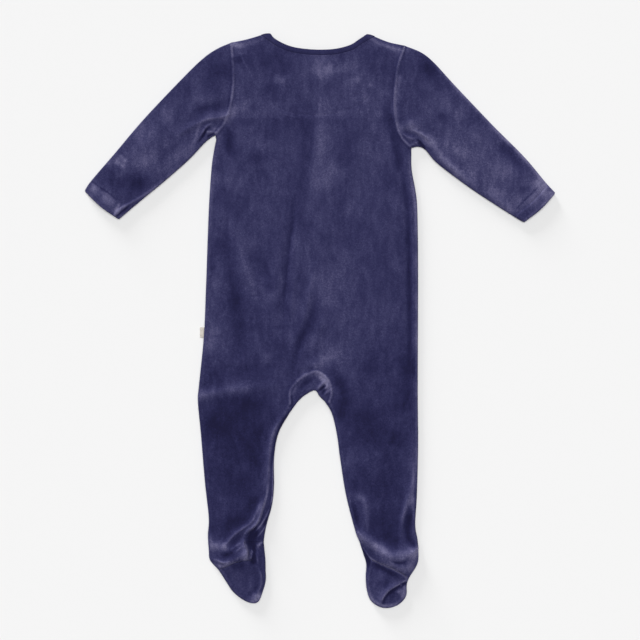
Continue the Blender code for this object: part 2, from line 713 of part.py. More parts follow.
def binding_ring(sewn, free, sewn_look, free_look):
    """A section of the binding: its outer face from sewn to free, and the way each end looks."""
    lip = (free - sewn).normalized() * BINDING_THICK * MM / 2
    sewn_back, free_back = (-look * BINDING_THICK * MM for look in (sewn_look, free_look))
    outer = [sewn, (sewn + free) / 2, free - lip]
    inner = [free - lip + free_back, (sewn + sewn_back + free + free_back) / 2, sewn + sewn_back]
    return [*outer, free + free_back / 2, *inner]


def make_binding(halves, lie):
    """The neck binding: one strip round the neck, open at the centre front."""
    up = Vector((0, 0, 1))
    runs = []
    for half in halves:
        gap = Vector((half.side * SEAM_GAP, 0))
        front = list(zip(half.neck_seam(FRONT_NECK), half.neck(FRONT_NECK)))[:0:-1]
        front[0] = front[0][0] + gap, front[0][1] + gap
        lower = [binding_ring(point(a, 0), point(f, 0), -up, -up) for a, f in front]
        back = list(zip(half.neck_seam(BACK_NECK), half.neck(BACK_NECK)))
        sewn, free = back[0]
        along = (free - sewn).normalized()
        out = Vector((along.y, -along.x, 0)) * half.side
        turn = []
        for angle in levels(math.pi, 0, ROLL_STEPS):
            looks = [out * math.sin(angle) * reach + up * math.cos(angle) for reach in (TIP_TAPER, 1)]
            ends = [point(place, 0) + (look + up) * BINDING_ROLL * MM
                    for place, look in zip((sewn, free), looks)]
            turn.append(binding_ring(*ends, *looks))
        upper = []
        for a, f in back[1:]:
            height = lie.height(a) + BINDING_PROUD
            upper.append(binding_ring(point(a, height), point(f, height), up, up))
        runs.append(lower + turn + upper)
    return closed_strip("neck_binding", runs[0] + runs[1][-2::-1], BINDING)


def centre_front(y):
    """x of the line where the two fronts meet."""
    low = Vector(GUSSET_SEAM[len(GUSSET_SEAM) // 2])
    knots = [Vector(FRONT_NECK[len(FRONT_NECK) // 2]), Vector(CENTRE_UNDERARM), low]
    a, b = knots[:2] if y > knots[1].y else knots[1:]
    return a.x + (b.x - a.x) * (a.y - y) / (a.y - b.y)


def make_placket():
    """The strip behind the centre front that the studs close on to."""
    low, high = CLOTH + SEAM_GAP, 2 * CLOTH + SEAM_GAP
    rings = []
    for y in levels(PLACKET_TOP, PLACKET_END, PLACKET_ROWS):
        end = Vector((centre_front(y) + PLACKET_OVERLAP, y))
        start = end - Vector((PLACKET_WIDTH, 0))
        rings.append([point(start, low), point(start, high), point(end, high), point(end, low)])
    return closed_strip("placket_strip", rings, TAPE)


def make_stud(number, place, front):
    """A press stud's cap, let into a front, with the hole that it sits in."""
    face, rim = 0.5, STUD_RADIUS * 0.65
    profile = ((0, face), (rim - 0.6, face), (rim, 0), (STUD_RADIUS - 0.6, 0),
               (STUD_RADIUS, face), (STUD_RADIUS, STUD_HEIGHT), (0, STUD_HEIGHT))
    made = bmesh.new()
    line = [made.verts.new((radius * MM, 0, z * MM)) for radius, z in profile]
    edges = [made.edges.new(pair) for pair in zip(line, line[1:])]
    bmesh.ops.spin(made, geom=line + edges, axis=(0, 0, 1), cent=(0, 0, 0),
                   angle=2 * math.pi, steps=STUD_SIDES)
    bmesh.ops.remove_doubles(made, verts=made.verts, dist=SEAM_GAP * MM / 100)
    bmesh.ops.recalc_face_normals(made, faces=made.faces)
    stud = object_of(f"stud_{number}", made, STUD)
    stud.location = point(place, STUD_RECESS)
    cutter = bmesh.new()
    radius = (STUD_RADIUS + SEAM_GAP) * MM
    bmesh.ops.create_cone(cutter, cap_ends=True, segments=STUD_SIDES, radius1=radius,
                          radius2=radius, depth=4 * CLOTH * MM)
    hole = object_of(f"hole_{number}", cutter, STUD)
    hole.location = point(place, 0.0)
    hole.hide_render = True
    hole.display_type = "WIRE"
    cut = front.modifiers.new(f"hole {number}", "BOOLEAN")
    cut.operation = "DIFFERENCE"
    cut.object = hole


def make_label():
    """A small folded tag let into the left side seam."""
    ends = [side_at(SIDE_LEFT, y)[0] for y in levels(LABEL_TOP, LABEL_TOP - LABEL_LENGTH, 2)]
    edge = min(ends) - SEAM_GAP
    made = bmesh.new()
    bmesh.ops.create_cube(made, size=1.0)
    size = Vector((LABEL_REACH, LABEL_LENGTH, LABEL_THICK)) * MM
    bmesh.ops.scale(made, vec=size, verts=made.verts)
    fold = [e for e in made.edges if all(v.co.x < 0 for v in e.verts)
            and e.verts[0].co.z == e.verts[1].co.z]
    bmesh.ops.bevel(made, geom=fold, offset=LABEL_THICK * MM * 0.4, segments=2, affect="EDGES")
    label = object_of("label", made, LABEL)
    middle = Vector((edge - LABEL_REACH / 2, LABEL_TOP - LABEL_LENGTH / 2))
    label.location = point(middle, FOLD_RADIUS)


def main():
    for old in list(bpy.data.objects):
        bpy.data.objects.remove(old)
    halves = Half(-1), Half(1)
    lie = lie_of(halves)
    make_back(halves, lie)
    fronts = [make_front(half, lie) for half in halves]
    make_gusset(halves, lie)
    for half in halves:
        make_sleeve(half, lie)
        make_foot_upper(half, lie)
        make_sole(half, lie)
    make_binding(halves, lie)
    make_placket()
    studs = levels(PLACKET_TOP - STUD_END, PLACKET_END + STUD_END, STUD_COUNT - 1)
    for number, y in enumerate(studs, 1):
        make_stud(number, Vector((centre_front(y) - STUD_INSET, y)), fronts[0])
    make_label()


main()
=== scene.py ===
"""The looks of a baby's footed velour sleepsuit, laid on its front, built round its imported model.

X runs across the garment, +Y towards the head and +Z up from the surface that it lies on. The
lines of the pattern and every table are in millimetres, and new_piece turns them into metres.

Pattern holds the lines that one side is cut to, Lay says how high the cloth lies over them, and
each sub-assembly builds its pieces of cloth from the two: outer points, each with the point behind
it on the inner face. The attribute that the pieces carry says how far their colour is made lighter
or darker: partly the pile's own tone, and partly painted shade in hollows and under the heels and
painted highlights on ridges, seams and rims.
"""

from __future__ import annotations

import logging
import math
from collections.abc import Iterable, Sequence
from dataclasses import dataclass
from enum import Enum

import bmesh
import bpy
import numpy as np
from mathutils import Matrix, Vector, geometry, kdtree, noise

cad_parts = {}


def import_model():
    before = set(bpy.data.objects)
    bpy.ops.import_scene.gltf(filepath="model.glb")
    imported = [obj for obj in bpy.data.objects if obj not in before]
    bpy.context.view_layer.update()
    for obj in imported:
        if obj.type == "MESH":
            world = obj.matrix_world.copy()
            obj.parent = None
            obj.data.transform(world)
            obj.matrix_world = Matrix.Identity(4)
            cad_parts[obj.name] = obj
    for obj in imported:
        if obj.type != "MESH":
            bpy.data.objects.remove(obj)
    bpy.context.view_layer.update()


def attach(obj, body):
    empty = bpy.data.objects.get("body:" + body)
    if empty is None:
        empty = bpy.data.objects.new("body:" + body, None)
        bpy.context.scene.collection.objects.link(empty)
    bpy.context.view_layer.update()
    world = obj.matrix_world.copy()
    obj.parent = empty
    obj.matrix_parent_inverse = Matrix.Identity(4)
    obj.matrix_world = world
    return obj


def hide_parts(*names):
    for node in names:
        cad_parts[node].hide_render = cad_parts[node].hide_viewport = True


LOG = logging.getLogger("sleepsuit")
MM = 0.001  # one millimetre, in metres
BODY = "root"

CLOTH = 1.8  # thickness of the velour
FOLD_RADIUS = 2.3  # outside radius of an edge where the cloth turns over
EDGE = 2 * FOLD_RADIUS  # height of the two layers at such an edge
SEAM_GAP = 0.05  # between two pieces at a seam
LOFT = 1.8  # how far the upper layer stands above EDGE, away from the edges
LOFT_REACH = 18.0  # distance from an edge over which it gets there
LOWEST = 4.2  # the upper layer's outer face is never lower than this
LOWEST_BEND = 4.0  # how sharply it levels out there
SEAM_DIP = 0.6  # how far a seam on the underside stands off the surface
DIP_REACH = 6.0  # distance from such a seam over which it is worked out
FOLD_REACH = 12.0  # distance from an edge over which the underside comes down from it
BINDING_WIDTH = 6.5
SHOULDER_STEPS = 4
NECK_STEPS = 12
FOOT_STEPS = 12  # between two rows of a foot's table
HEEL = 2 * FOOT_STEPS  # from either end of a foot's line, where the heel seam ends
FINE = 1.6  # spacing of points along an outline
KNOT_STEPS = 12  # points from one knot of a pattern's line to the next
EDGE_STEPS = 8  # the same for the edges at the shoulder and neck
GUSSET_STEPS = 60  # points along the whole of the gusset's seam
INSEAM_STEP = 2.2  # spacing of points along the inside of a leg
PAIR = 6  # numbers in a pair of points: the outer one's place and the inner one's
LAY_STEP = 3.0  # spacing of points along a seam, where it lifts the cloth
EDGE_STEP = 5.0  # along an edge, where it holds the cloth down
TURN_STEPS = 12  # round an edge where the cloth turns over
RINGS = (0.4, 0.9, 1.5, 2.2, 3.2, 4.6)  # rows of points beside an outline
BESIDE_CREASE = (0.0, -0.9, 0.9, -1.9, 1.9)  # rows of points along a crease
CREASE_CELL = 0.9  # of which no two are in one cell of this size
CREASE_BAND = 2.4  # the even points stay this far from a crease
ROUND_HOLE = (0.0, 0.8, 1.8)  # rows of points round a hole
HOLE_BAND = 2.2  # the other points stay this far from it
HOLE_POINTS = 40
WAVE_SCALE = math.pi / 10  # the wave texture's scale that gives one wave to the metre
ROW_RISE = 0.866  # from one row of even triangles to the next, for sides of 1
CREASE_REACH = 3.2  # half widths from a crease over which it is worked out
CREASE_STEP = 5.0  # spacing of points along a crease where it lifts the cloth
FADE_SHARE = 0.45  # of a crease's length, over which its end fades
FADE_START = 0.04  # how far it has come up at its very end
FAR = 1e3  # stands for the distance to a line that is out of reach
TOGETHER = 0.05  # points of a line that are no further apart are one
TINY = 1e-9  # keeps a length from being 0
STEEPEST = 50.0  # keeps an exponential from running over
NUDGE = 0.1  # a short way along a line, which gives its direction
DRAWN_STEPS = 6  # points from one knot of a crease, or of a neck, to the next
SEAM_REACH = 10.0  # how far from a seam it still lifts or brushes the cloth
RING_CLEAR = 0.93  # of a ring's distance, where it meets another part of the outline
STEP_CLEAR = 0.6  # of a spacing, between the last ring and the points inside
WELD = 1e-4
# An unevenness is rows of height, pace and start. A crease's starts are shares of its seed.
CREASE_WAVES = ((0.22, 5.1, 1.0), (0.12, 13.7, 2.3))
SEAM_HIGHLIGHT_WAVES = ((0.35, 0.11, 1.3), (0.15, 0.63, 0.0))  # of the painted highlight along a seam
CELLS = (500, 500, 20)  # to the millimetre across, along and up; points in one cell are one
NAP_AND_PAINTED_LIGHT = "nap_and_painted_light"  # the attribute that makes the colour lighter or darker: the pile's own tone, with painted shade and painted highlights
NAP_AND_LIGHT_LIMIT = 0.3  # the pile's tone with the painted light and shade comes close to this, but no further

Row = tuple[float, ...]
Rows = tuple[Row, ...]
Colour = tuple[float, float, float]
Array = np.ndarray
Socket = bpy.types.NodeSocket
Material = bpy.types.Material
Piece = bpy.types.Object
Finishes = dict[str, Material]  # by the record's slots


class Ends(Enum):
    """Where a crease, or a brushed mark, fades out along its line."""

    BOTH = "both"
    START = "start"
    FINISH = "finish"
    NEITHER = "neither"


BOTH, START, FINISH, NEITHER = Ends


class Layer(Enum):
    """The two layers of the laid garment."""

    UPPER = "upper"
    LOWER = "lower"


# --- lines on the plan ---


def smooth(knots: Array, steps: int) -> Array:
    """Draws a smooth curve through knots of any number of columns.

    Args:
        knots: The rows to pass through.
        steps: Points from each knot to the next.

    Returns:
        The curve's points, the last knot among them.
    """
    ends = np.vstack([2 * knots[0] - knots[1], knots, 2 * knots[-1] - knots[-2]])
    a, b, c, d = (ends[i:len(ends) - 3 + i, None] for i in range(4))
    t = (np.arange(steps) / steps)[None, :, None]
    found = 0.5 * (2 * b + (c - a) * t + (2 * a - 5 * b + 4 * c - d) * t**2
                   + (3 * b - a - 3 * c + d) * t**3)
    return np.vstack([found.reshape(-1, knots.shape[1]), knots[-1]])


def run_of(line: Array) -> Array:
    """Returns the length along a polyline at each of its points."""
    return np.concatenate([[0.0], np.cumsum(np.linalg.norm(np.diff(line, axis=0), axis=1))])


def at_runs(line: Array, runs: Array) -> Array:
    """Returns the points of a polyline at the given lengths along it."""
    run = run_of(line)
    return np.stack([np.interp(runs, run, column) for column in line.T], axis=1)


def evenly(line: Array, count: int) -> Array:
    """Returns count + 1 points evenly spaced along a polyline."""
    return at_runs(line, np.linspace(0, run_of(line)[-1], count + 1))


def spaced(line: Array, spacing: float = FINE) -> Array:
    """Returns points about a spacing apart along a polyline."""
    return evenly(line, max(1, round(run_of(line)[-1] / spacing)))


def curve(rows: Rows, count: int) -> Array:
    """Returns count + 1 points evenly spaced along a smooth curve through the rows."""
    return evenly(smooth(np.array(rows, float), KNOT_STEPS), count)


def beyond(line: Array, start: float) -> Array:
    """Returns a polyline without its first start millimetres."""
    run = run_of(line)
    return at_runs(line, np.concatenate([[start], run[run > start + TOGETHER]]))


def unit(vectors: Array) -> Array:
    """Returns vectors of length 1, row by row."""
    return vectors / np.maximum(np.linalg.norm(vectors, axis=-1, keepdims=True), TINY)


def shifted(line: Array, distance: float) -> Array:
    """Returns a polyline moved to the left of its direction."""
    along = unit(np.vstack([line[1] - line[0], line[2:] - line[:-2], line[-1] - line[-2]]))
    return line + np.stack([-along[:, 1], along[:, 0]], axis=1) * distance


def joined(*lines: Array) -> Array:
    """Returns polylines one after another, without the points that repeat."""
    line = np.vstack(lines)
    keep = np.ones(len(line), bool)
    keep[1:] = np.linalg.norm(np.diff(line, axis=0), axis=1) > TOGETHER
    return line[keep]


def across(start: Array, end: Array, shares: Array) -> Array:
    """Returns a grid of rows, each from a start to its end at the given shares of the way."""
    return start[:, None] + (end - start)[:, None] * shares[None, :, None]


def nearest(places: Array, line: Array, reach: float = math.inf) -> Array:
    """Measures places against a polyline.

    Args:
        places: Places on the plan, one a row.
        line: The polyline.
        reach: Places further than this from the line's box are left out.

    Returns:
        Three rows: distance, with an infinite one where left out, the same with a minus to the
        right of the line, and the length run along it to the nearest point.
    """
    found = np.full((3, len(places)), math.inf)
    low, high = line.min(axis=0) - reach, line.max(axis=0) + reach
    close = np.flatnonzero(np.all((places >= low) & (places <= high), axis=1))
    if not len(close):
        return found
    spots, best = places[close], np.full((3, len(close)), math.inf)
    runs = run_of(line)
    for start, end, run in zip(line, line[1:], runs):
        along = end - start
        length = math.hypot(*along) or TINY
        along = along / length
        off = spots - start
        share = np.clip(off @ along, 0.0, length)
        distance = np.hypot(*(off - share[:, None] * along).T)
        nearer = distance < best[0]
        side = np.where(along[0] * off[:, 1] - along[1] * off[:, 0] < 0, -1.0, 1.0)
        best = np.where(nearer, np.stack([distance, distance * side, run + share]), best)
    found[:, close] = best
    return found


def bell(off: Array, width: float | Array) -> Array:
    """Returns 1 at a distance of 0, falling to nothing within about twice the width."""
    return np.exp(-((off / width) ** 2))


def uneven(run: Array, *waves: tuple) -> Array:
    """Returns 1 with waves added: a row for each of its height, its pace and where it starts."""
    return sum((height * np.sin(run * pace + start) for height, pace, start in waves), 1)


@dataclass(frozen=True)
class Ripple:
    """Smooth noise over the garment, of a height and of a size across and along it."""

    height: float
    wide: float
    long: float
    seed: float

    def at(self, places: Array) -> Array:
        """Returns the noise at each place."""
        return self.height * np.array([
            noise.noise(Vector((x / self.wide, y / self.long, self.seed)))
            for x, y in places.tolist()])


SWELL = Ripple(0.45, 30, 75, 3.1)
RUMPLE = Ripple(0.16, 13, 24, 8.7)
NAP_CLOUDS = Ripple(0.05, 34, 60, 1.7)
NAP_BELOW = Ripple(0.16, 26, 40, 5.5)


# --- the pattern ---


@dataclass(frozen=True)
class Pattern:
    """The lines that one side of the garment is cut to, as it lies.

    side is -1 for the side at -X and 1 for the other. A row of edge or inseam is y, the x of the
    garment's edge, and how far in from it the seam on the upper side lies. A row of sleeve is the
    outer fold's place and the underarm fold's. A row of foot is the place on the foot's edge and
    the one on its seam, from the ankle outside, by the toe, to the ankle inside.
    """

    name: str
    side: int
    shoulder: Rows
    shoulder_seam: float
    neck_end: int
    underarm: Row
    armhole: Rows
    edge: Rows
    inseam: Rows
    sleeve: Rows
    foot: Rows
    heel: Rows
    back_neck: Rows = ((-61.2, 343), (-50, 334.6), (-34, 327.7), (-14, 324.6), (4, 324),
                       (22, 325.6), (38, 330.5), (48, 337.2), (56.4, 342.2))
    front_neck: Rows = ((-61.2, 343), (-61, 326), (-52, 306), (-30, 292), (-1.5, 287), (27, 292),
                        (48, 306), (56.4, 326), (56.4, 342.2))
    gusset: Rows = ((-36, -100), (-35.5, -84), (-24, -70), (-5, -61.5), (9, -70), (14, -85),
                    (11, -98))
    crotch: Rows = ((-27.6, -99), (-19.2, -91), (-6.4, -84.5), (-0.5, -91.6), (6, -98))
    chest: Row = (-3.0, 214.0)

    def half_of(self, line: Array) -> Array:
        """Returns this side's half of a line across the garment, from the middle out."""
        middle = len(line) // 2
        return line[middle::-1] if self.side < 0 else line[middle:]

    def neck(self, rows: Rows, depth: float = 0.0) -> Array:
        """Returns a neck's edge, or a line inside it, from the neck point to the centre."""
        return self.half_of(shifted(curve(rows, NECK_STEPS), -depth))[::-1]

    def neck_seam(self, rows: Rows, gap: float = 0.0) -> Array:
        """Returns the line where the binding meets the cloth, from the shoulder's fold."""
        line = self.neck(rows, BINDING_WIDTH + gap).copy()
        fold, tip = np.array(self.shoulder[-1]), np.array(rows[self.neck_end])
        line[0] = fold + unit(tip - fold) * 2 * (SEAM_GAP - gap)
        return line

    def armhole_line(self) -> Array:
        """Returns the armhole seam from the shoulder's fold to the underarm's."""
        return smooth(np.array(self.armhole, float), KNOT_STEPS)

    def shoulders(self) -> Array:
        """Returns rows of the shoulder's edge and seam, from the armhole to the neck."""
        edges = curve(self.shoulder, SHOULDER_STEPS)
        seams = shifted(edges, self.side * self.shoulder_seam)
        top = evenly(self.armhole_line(), 9)
        seams[0] = top[0] + unit(top[1] - top[0]) * (self.shoulder_seam - FOLD_RADIUS)
        sewn = self.neck_seam(self.back_neck, SEAM_GAP)
        seams[-1] = sewn[0] + unit(sewn[1] - sewn[0]) * self.shoulder_seam
        return spaced(smooth(np.hstack([edges, seams]), EDGE_STEPS), 2 * FINE)

    def sections(self, rows: Rows, inwards: int) -> Array:
        """Returns rows of an edge and its seam, from the rows of an edge table."""
        table = smooth(np.array(rows, float), KNOT_STEPS)
        edges = table[:, [1, 0]]
        seams = edges + np.stack([inwards * table[:, 2], np.zeros(len(table))], axis=1)
        return np.hstack([edges, seams])

    def sides(self) -> Array:
        """Returns rows of the side's edge and seam, from the underarm to the ankle."""
        first = [*self.underarm, *self.armhole[-1]]
        return spaced(np.vstack([first, self.sections(self.edge, -self.side)]), 2 * FINE)

    def gusset_line(self, gap: float = 0.0) -> Array:
        """Returns this side's half of the gusset's seam, from the centre down."""
        return self.half_of(shifted(curve(self.gusset, GUSSET_STEPS), gap))

    def inseams(self) -> Array:
        """Returns rows of the inside leg's edge and seam, from the gusset to the ankle."""
        rows = self.sections(self.inseam, self.side)
        rows[0, 2:] = self.gusset_line()[-1]
        return spaced(rows, INSEAM_STEP)

    def feet(self) -> Array:
        """Returns rows of the foot's edge and seam, FOOT_STEPS for each row of its table."""
        return smooth(np.array(self.foot, float), FOOT_STEPS)

    def heel_line(self) -> Array:
        """Returns the seam between heel and sole, from the outside in."""
        return spaced(smooth(np.array(self.heel, float), KNOT_STEPS))

    def sleeves(self) -> Array:
        """Returns rows of the sleeve's outer fold and underarm fold."""
        return smooth(np.array(self.sleeve, float), KNOT_STEPS)


LEFT = Pattern(
    name="left", side=-1, neck_end=0, shoulder_seam=4, underarm=(-125.4, 221.4),
    shoulder=((-106.4, 332.6), (-88, 336.4), (-70.6, 341.6)),
    armhole=((-106.2, 330.3), (-104.2, 305), (-104, 280), (-108, 254), (-115.2, 235),
             (-124.5, 223.5)),
    edge=((216, -124.4, 2.8), (200, -127.6, 3), (180, -130.2, 3.2), (130, -133.4, 3.5),
          (36, -136.8, 3.5), (-21, -139.4, 3.5), (-79, -145.2, 3.5), (-98, -146.4, 3.5),
          (-137, -142.8, 3.5), (-194, -138, 3.5), (-237, -133.4, 3), (-258, -134.4, 2.8),
          (-276, -133.4, 2.6)),
    inseam=((-99, -27.6, 8.4), (-115, -38.6, 5), (-137, -50.2, 6), (-165, -55, 5.3),
            (-200, -55.2, 7.2), (-222, -57.6, 9.5), (-243, -63.4, 11.5), (-254, -65.8, 17),
            (-266, -67.6, 23.5)),
    sleeve=((-106.4, 332.6, -125.4, 221.4), (-122.4, 325.6, -131.4, 218),
            (-139, 314.5, -139.4, 211), (-163, 291.6, -157, 192.4), (-211, 241, -187, 165.8),
            (-247, 198.6, -216, 142), (-274, 167.2, -233.6, 127), (-282.7, 154.2, -241.6, 120.2)),
    foot=((-133.4, -276, -130.8, -276), (-131.8, -288, -129.2, -286.8),
          (-121, -300.6, -119.2, -298.2), (-112, -314.6, -109.6, -313),
          (-104.4, -325.6, -102.4, -323.6), (-93, -335, -91.6, -332.4),
          (-81.4, -339.6, -82, -336.8), (-73.4, -337, -76.4, -334.2),
          (-68.2, -324.4, -73.2, -323.2), (-65, -312, -70.2, -312.4), (-65.2, -300, -73.6, -300.4),
          (-65.4, -288, -80.6, -288.4), (-66.4, -277, -86.4, -277.4), (-67.6, -266, -91.1, -266)),
    heel=((-119.2, -298.2), (-110.4, -294.6), (-100, -290), (-90.5, -288), (-80.6, -288.4)),
)
RIGHT = Pattern(
    name="right", side=1, neck_end=-1, shoulder_seam=6, underarm=(109.8, 206.2),
    shoulder=((101.2, 329), (82, 333.2), (65.6, 339.8)),
    armhole=((100.8, 326.7), (92.6, 300), (89.3, 262), (92, 234), (98, 218.5), (108, 208)),
    edge=((204, 109.4, 2.8), (180, 110, 4), (152, 115, 5.5), (128, 116.8, 6), (60, 117.6, 6),
          (-80, 117.2, 6), (-150, 117.6, 6), (-209, 116.2, 5), (-245, 114.2, 4), (-262, 116.8, 3),
          (-273, 118, 2.6)),
    inseam=((-98, 6, 5), (-112, 14.2, 3.5), (-137, 20.2, 3), (-165, 24, 3), (-209, 31, 3),
            (-252, 42, 3), (-266, 47.4, 2.8)),
    sleeve=((101.2, 329, 109.8, 206.2), (121.6, 320.6, 118.6, 207.6), (137, 308.2, 127, 203.2),
            (161, 282, 141, 187.4), (208, 232.5, 177, 160.2), (245, 195.4, 210, 138.2),
            (271, 164.4, 235, 122.4), (282.7, 151.8, 245, 116.6)),
    foot=((118, -273, 115.4, -273), (117, -291.6, 114.2, -290.2), (106.6, -309.4, 104, -307.6),
          (104, -318, 101.2, -318), (103.4, -330, 100.7, -329), (96.6, -339.4, 95, -336.8),
          (85, -344.9, 84.6, -341.8), (72, -344.2, 73, -341.2), (60.6, -336, 62.8, -334),
          (56, -323, 58.8, -322.4), (54.8, -308, 57.8, -308), (55.4, -292.4, 62.3, -287.6),
          (51.8, -280, 54.4, -278.2), (47.4, -266, 50.2, -266)),
    heel=((104, -307.6), (96.6, -302.6), (84, -296.6), (72.5, -292), (62.3, -287.6)),
)


# --- how the cloth lies ---


@dataclass(frozen=True)
class Crease:
    """A soft fold along a line, or only a mark of light or dark in its colour where its rise is 0.

    line is x and y of each of its points in turn. rise is its height, or its depth where negative.
    width is half its width, or that to the left and that to the right of its direction. The value
    after width says how far its colour is made lighter or darker: partly the pile's own tone, and
    partly painted shade in a hollow and a painted highlight on a ridge or rim.
    """

    name: str
    line: Row
    rise: float
    width: float | Row
    nap_and_painted_light: float = 0.0
    ends: Ends = BOTH

    def drawn(self, spacing: float) -> Array:
        """Returns the line as points a spacing apart."""
        knots = np.reshape(self.line, (-1, 2)).astype(float)
        return spaced(smooth(knots, DRAWN_STEPS), spacing)

    def shape(self, places: Array, seed: float) -> Array:
        """Returns the fold's share of its full height, from 0 to about 1, at each place."""
        line = self.drawn(CREASE_STEP)
        left, right = np.broadcast_to(self.width, 2)
        distance, side, run = nearest(places, line, CREASE_REACH * max(left, right))
        near = np.isfinite(distance)
        share = run[near] / run_of(line)[-1]
        found = np.zeros(len(places))
        found[near] = bell(distance[near], np.where(side[near] > 0, left, right))
        found[near] *= uneven(share, *((*wave, start * seed) for *wave, start in CREASE_WAVES))
        for end, off in ((START, share), (FINISH, 1 - share)):
            if self.ends in (BOTH, end):
                risen = np.clip(off / FADE_SHARE + FADE_START, 0, 1)
                found[near] *= np.sin(math.pi / 2 * risen)
        return found


@dataclass(frozen=True)
class Seam:
    """A sewn seam: the ridge of its allowances, the groove in its middle, a painted highlight along
    it and painted shade beside it.
    """

    line: Array
    ridge: float = 0.4
    groove: float = 0.25
    # how strong the painted highlight along it and the painted shade beside it are
    nap_and_painted_light: float = 0.06
    width: float = 1.7
    groove_width: float = 0.4
    highlight_width: float = 1.25  # of the painted highlight along it
    shades: Rows = ((0.45, -2.6, 1.0), (0.2, 2.8, 1.2))  # painted shade beside it, where the cloth falls away: strength, place to its left, width

    def parts(self, places: Array) -> tuple[Array, Array, Array, Array]:
        """Returns which places are near, and their distance, signed distance and run."""
        distance, side, run = nearest(places, self.line, SEAM_REACH)
        near = np.isfinite(distance)
        return near, distance[near], side[near], run[near]

    def height(self, places: Array) -> Array:
        """Returns how far the seam lifts the cloth at each place, which is down in its groove."""
        near, off, _, run = self.parts(places)
        pucker = uneven(run, (0.25, 0.9, 2.0 * np.sin(run * 0.21)), (0.2, 0.37, 0.0))
        found = np.zeros(len(places))
        found[near] = (self.ridge * pucker * bell(off, self.width)
                       - self.groove * bell(off, self.groove_width))
        return found

    def pile_and_painted_light(self, places: Array) -> Array:
        """Returns the painted light beside the seam: a painted highlight along it, painted shade
        where the cloth falls away.
        """
        near, off, side, run = self.parts(places)
        light = uneven(run, *SEAM_HIGHLIGHT_WAVES) * bell(off, self.highlight_width)
        for strength, place, width in self.shades:
            light -= strength * bell(side - place, width)
        found = np.zeros(len(places))
        found[near] = self.nap_and_painted_light * light
        return found
